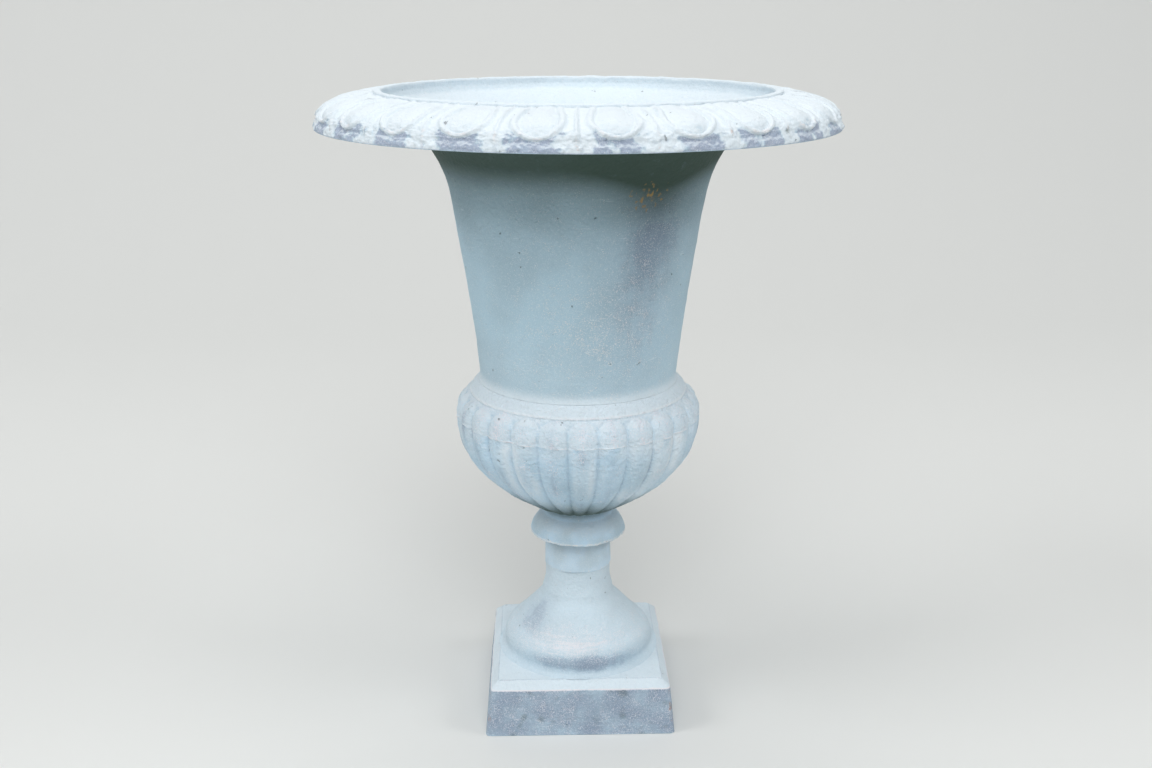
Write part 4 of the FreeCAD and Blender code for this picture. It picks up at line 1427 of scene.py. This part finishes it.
@dataclass
class SquareFoot:
    """The foot: square plinth, dome and stem, one hollow casting."""

    base_half: float = 116.6
    base_round: float = 0.5
    base_rise: float = 1.2
    top_half: float = 110.4
    side_height: float = 58.6
    arris: float = 1.2
    arris_rise: float = 1.4
    bevel_half: float = 101.4
    bevel_top: float = 67.6
    panel_half: float = 100.4
    panel_top: float = 68.4
    corner: float = 6.0
    dome: float = 94.4
    fillet: float = 8.0
    skirt_inset: float = 0.6
    skirt_rise: float = 9.5
    skirt_bow: float = 2.4
    shoulder: float = 81.2
    shoulder_height: float = 102.4
    shoulder_bow: float = -4.4
    kink: float = 46.0
    kink_height: float = 141.0
    kink_start: float = 5.0
    kink_end: float = 1.6
    kink_rise: float = 8.0
    kink_bow: float = 1.6
    stem: float = 40.3
    stem_neck_height: float = 172.0
    stem_bow: float = 1.2
    stem_top: float = 182.0
    wall: float = 7.5
    kink_wall: float = 7.0
    kink_drop: float = 3.0
    inner_shoulder: float = 79.7
    inner_shoulder_height: float = 93.9
    inner_dome_height: float = 83.9
    spigot: float = 33.0
    spigot_inside: float = 26.0
    spigot_top: float = 196.0
    rod_hole: float = 8.5
    columns: int = 960
    lumps: tuple[Lumps, ...] = (Lumps(60.0, 0.5, 41), Lumps(18.0, 0.25, 42), Lumps(6.0, 0.1, 43))
    lumps_start: Fade = Fade(0.2, 4.0)
    dents: Blotches = Blotches(26.0, 44, 0.55, 1.1)
    dent_depth: float = 0.55
    shoulder_ridge: Ridge = Ridge(103.0, 54.0)
    shoulder_wear: float = 0.2
    worn_side: Spot = Spot(-8.0, 52.0)
    worn_side_more: float = 0.28
    arris_ridge: Ridge = Ridge(0.4, 3.0)
    arris_wear: float = 0.6
    side_wear: float = 0.2
    corner_turn: Fade = Fade(42.0, 44.4)
    corner_spots: Blotches = Blotches(16.0, 48, -0.5, 0.4)
    corner_rust: float = 0.6
    arris_foot: Ridge = Ridge(-0.5, 3.0)
    arris_spots: Blotches = Blotches(18.0, 49, 0.3, 0.9)
    arris_rust: float = 0.45
    skirt_ring: Ridge = Ridge(83.0, 34.0)
    front: Spot = Spot(4.0, 56.0)
    front_least: float = 0.12
    ring_thin: float = 0.7
    side_thin: float = 0.68
    side_clouds: Lumps = Lumps(30.0, 0.12, 47)
    smudges: Blotches = Blotches(20.0, 50, 0.5, 1.3)
    smudge_grime: float = 0.4
    flank: Spot = Spot(-60.0, 24.0)
    flank_ridge: Ridge = Ridge(120.0, 80.0)
    flank_thin: float = 0.6
    panel_line: Ridge = Ridge(0.0, 2.4)
    line_thin: float = 0.55
    line_wear: float = 0.4
    line_spots: Blotches = Blotches(24.0, 46, -0.2, 0.6)
    # Painted shade at the top of the stem, under the collar's sleeve
    stem_shade: Fade = Fade(172.0, 181.0)
    stem_painted_shade: float = 0.06
    dome_pale: float = 0.46
    ring_loss: float = 0.34
    panel_pale: float = 0.7

    def outline(self) -> Outline:
        """The foot's outline; its lower levels are square."""
        outline = Outline(self.base_half, 0.0, 1.0)
        outline.line(self.base_half - self.base_round, self.base_rise, 2, "side", 1.0)
        outline.line(self.top_half, self.side_height, 33, "side", 1.0)
        outline.line(self.top_half - self.arris, self.side_height + self.arris_rise, 3, "bevel", 1.0)
        outline.line(self.bevel_half, self.bevel_top, 10, "bevel", 1.0)
        outline.line(self.panel_half, self.panel_top, 3, "panel", 1.0)
        outline.line(self.dome + self.fillet, self.panel_top, 27, "panel")
        skirt_top = self.panel_top + self.skirt_rise
        outline.arc(self.dome - self.skirt_inset, skirt_top, self.skirt_bow, 17, "skirt")
        outline.arc(self.shoulder, self.shoulder_height, self.shoulder_bow, 28, "dome")
        outline.line(self.kink + self.kink_start, self.kink_height - self.kink_start, 29, "dome")
        outline.arc(self.kink - self.kink_end, self.kink_height + self.kink_rise, self.kink_bow, 19, "dome")
        outline.arc(self.stem, self.stem_neck_height, self.stem_bow, 16, "stem")
        outline.line(self.stem, self.stem_top, 9, "stem")
        outline.line(self.spigot, self.stem_top)
        outline.line(self.spigot, self.spigot_top)
        outline.line(self.spigot_inside, self.spigot_top, 2)
        outline.line(self.spigot_inside, self.stem_top)
        outline.line(self.rod_hole, self.stem_top)
        outline.line(self.rod_hole, self.stem_neck_height, 2)
        outline.line(self.stem - self.wall, self.stem_neck_height, 5, "inside")
        outline.line(self.kink - self.kink_wall, self.kink_height - self.kink_drop, 6, "inside")
        outline.line(self.inner_shoulder, self.inner_shoulder_height, 11, "inside")
        outline.line(self.dome - self.wall, self.inner_dome_height, 4, "inside")
        outline.line(self.dome - self.wall, self.bevel_top - self.wall, 5, "inside")
        outline.line(self.bevel_half - self.wall, self.bevel_top - self.wall, 18, "inside", 1.0)
        outline.line(self.top_half - self.wall, self.side_height - self.wall, 5, "inside", 1.0)
        outline.line(self.base_half - self.wall, 0.0, 9, "inside", 1.0)
        outline.line(self.base_half, 0.0, square=1.0)
        return outline

    def weather(self, grid: Turned, places: np.ndarray) -> None:
        """Marks the foot's wear and a painted shade at the top of the stem, under the collar.

        Args:
            grid: The finished foot.
            places: The points of the smooth foot in mm.
        """
        turn, height = grid.turn(), grid.height
        side = grid.rows("side")
        dome = grid.rows("skirt", "dome")
        front = self.front.over(turn, height)
        from_side = (turn + 45) % 90 - 45
        worn = self.shoulder_wear + self.worn_side_more * self.worn_side.over(turn, height)
        grid.mark(Mark.WEAR, worn * self.shoulder_ridge.at(height) * dome)
        arris = self.arris_ridge.at(height, self.side_height) * grid.rows("side", "bevel")
        grid.mark(Mark.WEAR, self.arris_wear * arris + self.side_wear * side)
        corner = self.corner_turn.at(np.abs(from_side)) * self.corner_spots.over(places)
        grid.mark(Mark.RUST, self.corner_rust * corner * side)
        below_arris = self.arris_foot.at(height, self.side_height) * self.arris_spots.over(places)
        grid.mark(Mark.RUST, self.arris_rust * below_arris)
        ring = self.skirt_ring.at(height) * dome
        grid.mark(Mark.THIN, self.ring_thin * ring * at_least(self.front_least, front))
        grid.mark(Mark.THIN, (self.side_thin + self.side_clouds.over(places)) * side)
        grid.mark(Mark.GRIME_AND_SHADE, self.smudge_grime * self.smudges.over(places) * side)
        flank = self.flank.over(turn, height) * self.flank_ridge.at(height)
        grid.mark(Mark.THIN, self.flank_thin * flank * grid.rows("dome", "stem"))
        reach = np.abs(grid.radius * np.cos(np.radians(from_side)) - self.panel_half)
        line = self.panel_line.at(reach)
        grid.mark(Mark.THIN, self.line_thin * line * grid.rows("panel", "bevel"))
        grid.mark(Mark.WEAR, self.line_wear * line * grid.rows("panel") * self.line_spots.over(places))
        # Painted shade at the top of the stem
        grid.mark(Mark.GRIME_AND_SHADE, self.stem_painted_shade * self.stem_shade.at(height) * grid.rows("stem"))
        dome_pale = (self.dome_pale - self.ring_loss * ring * front) * grid.rows("skirt", "dome", "stem")
        grid.mark(Mark.PALE_AND_LIGHT, self.panel_pale * grid.rows("panel", "bevel") + dome_pale)

    def build(self) -> bpy.types.Object:
        """Builds the foot.

        Returns:
            The piece.
        """
        grid = Turned(self.outline(), self.columns, self.corner)
        places = grid.places()
        outer = grid.rows("side", "bevel", "panel", "skirt", "dome", "stem")
        dents = self.dent_depth * self.dents.over(places) * grid.rows("side", "bevel")
        off_floor = self.lumps_start.at(grid.height)
        grid.raise_by((lumpy(places, self.lumps) - dents) * outer * off_floor)
        self.weather(grid, places)
        paint = ChalkPaint(
            "chalk_paint_foot", patch_mm=60.0, thin_patches=0.3, undercoat_and_shade="#8d9cb2", bare="#ecebf0",
            bleach=0.45, pebble_depth_mm=2.0)
        return dress(grid.mesh("foot_casting"), paint.material(), "painted_iron", "foot")


@dataclass
class Fasteners:
    """The tie rod with its washers and nuts, the waist bolts and the rim screws."""

    nodes: tuple[str, ...] = (
        "tie_rod", "upper_rod_washer", "lower_rod_washer", "upper_rod_nut", "lower_rod_nut", "waist_bolts",
        "waist_nuts", "rim_screws")

    def build(self) -> None:
        """Gives the CAD's own fasteners their metal."""
        steel = WeatheredSteel().material()
        for name in self.nodes:
            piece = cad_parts[name]
            piece.data.materials.clear()
            piece.data.materials.append(steel)
            log.info("dressed %s", name)


# The studio


@dataclass(frozen=True)
class Lamp:
    """A round soft lamp, by its place and width in m and its power in watts."""

    name: str
    place: tuple[float, float, float]
    width: float
    watts: float


@dataclass
class Studio:
    """A pale floor, soft lamps and the camera where the photographer stood.

    The camera's distances are in mm from the middle of the foot, and the room's sizes are in m.
    """

    camera_from_axis: float = 1466.7
    camera_height: float = 868.1
    camera_side: float = -2.46
    down_degrees: float = 17.12
    turn_degrees: float = -1.6
    focal_px: float = 1254.3
    image_width_px: float = 1152.0
    sensor_mm: float = 36.0
    paper: str = "#e3e4e2"
    paper_roughness: float = 0.95
    sky: str = "#e6eef4"
    surround: str = "#d6d8d6"
    fill: float = 0.1
    half_width: float = 8.0
    front: float = 5.0
    back: float = 4.2
    bend: float = 2.4
    bend_steps: int = 24
    wall_height: float = 7.5
    floor_gap: float = 0.0005
    aim_height: float = 0.4
    lamps: tuple[Lamp, ...] = (
        Lamp("sky_lamp", (-0.6, -0.4, 8.6), 8.0, 200.0),
        Lamp("front_lamp", (0.0, -5.5, 6.0), 6.0, 330.0),
        Lamp("left_lamp", (-4.6, -1.4, 4.2), 3.0, 96.0),
        Lamp("right_lamp", (4.6, -1.4, 4.2), 3.0, 72.0),
    )

    def set_camera(self) -> None:
        """Puts the camera at the photograph's angle."""
        data = bpy.data.cameras.new("camera")
        data.sensor_width = self.sensor_mm
        data.lens = self.focal_px / self.image_width_px * self.sensor_mm
        eye = bpy.data.objects.new("camera", data)
        turn = math.radians(self.turn_degrees)
        place = Vector((self.camera_side, -self.camera_from_axis, self.camera_height)) * MM
        place.rotate(Euler((0, 0, turn)))
        eye.location = place
        eye.rotation_euler = (math.radians(90 - self.down_degrees), 0, turn)
        bpy.context.scene.collection.objects.link(eye)
        bpy.context.scene.camera = eye

    def lay_floor(self) -> None:
        """Lays the pale floor, which sweeps up behind the urn as a backdrop."""
        turns = [math.pi / 2 * step / self.bend_steps for step in range(self.bend_steps + 1)]
        bend_y = self.back - self.bend
        sweep = [(-self.front, 0.0)]
        sweep += [(bend_y + self.bend * math.sin(turn), self.bend * (1 - math.cos(turn))) for turn in turns]
        sweep.append((self.back, self.wall_height))
        corners = [(side, y, z) for y, z in sweep for side in (-self.half_width, self.half_width)]
        faces = [(2 * k, 2 * k + 1, 2 * k + 3, 2 * k + 2) for k in range(len(sweep) - 1)]
        data = bpy.data.meshes.new("floor")
        data.from_pydata(corners, [], faces)
        data.shade_smooth()
        ground = bpy.data.objects.new("floor", data)
        ground.location = (0, 0, -self.floor_gap)
        made, tree = blank_material("pale_paper")
        surface = {"Base Color": srgb(self.paper), "Roughness": self.paper_roughness}
        shader = add_node(tree, "ShaderNodeBsdfPrincipled", surface)
        add_node(tree, "ShaderNodeOutputMaterial", {"Surface": shader.outputs["BSDF"]})
        data.materials.append(made)
        bpy.context.scene.collection.objects.link(ground)

    def hang_lamps(self) -> None:
        """Hangs the soft lamps: overhead, behind the camera and at its left and right."""
        for lamp in self.lamps:
            data = bpy.data.lights.new(lamp.name, "AREA")
            data.shape = "DISK"
            data.size = lamp.width
            data.energy = lamp.watts
            hung = bpy.data.objects.new(lamp.name, data)
            hung.location = lamp.place
            aim = Vector((0, 0, self.aim_height)) - Vector(lamp.place)
            hung.rotation_euler = aim.to_track_quat("-Z", "Y").to_euler()
            bpy.context.scene.collection.objects.link(hung)

    def surround_world(self) -> None:
        """A surround that lights the object a little and that eye and metal see as pale paper."""
        world = bpy.data.worlds.new("studio")
        world.use_nodes = True
        tree = world.node_tree
        tree.nodes.clear()
        soft = add_node(tree, "ShaderNodeBackground", {"Color": srgb(self.sky), "Strength": self.fill})
        shown = add_node(tree, "ShaderNodeBackground", {"Color": srgb(self.surround), "Strength": 1.0})
        rays = add_node(tree, "ShaderNodeLightPath").outputs
        seen = rays["Is Camera Ray"]
        for ray in ("Is Glossy Ray", "Is Transmission Ray"):
            seen = add_node(tree, "ShaderNodeMath", {0: seen, 1: rays[ray]}, operation="MAXIMUM").outputs[0]
        mixed = add_node(tree, "ShaderNodeMixShader", {0: seen, 1: soft.outputs[0], 2: shown.outputs[0]})
        add_node(tree, "ShaderNodeOutputWorld", {"Surface": mixed.outputs[0]})
        bpy.context.scene.world = world

    def build(self) -> None:
        """Sets up the whole studio."""
        bpy.context.scene.view_settings.view_transform = "Standard"
        self.set_camera()
        self.lay_floor()
        self.hang_lamps()
        self.surround_world()


def main() -> None:
    """Builds the urn and its studio."""
    logging.basicConfig(level=logging.INFO, format="%(name)s: %(message)s")
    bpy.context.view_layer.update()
    for part in (SquareFoot(), KnopCollar(), GadroonedBowl(), TrumpetBody(), RimRing()):
        piece = part.build()
        log.info("built %s, %d faces", piece.name, len(piece.data.polygons))
    Fasteners().build()
    Studio().build()


if __name__ == "__main__":
    main()
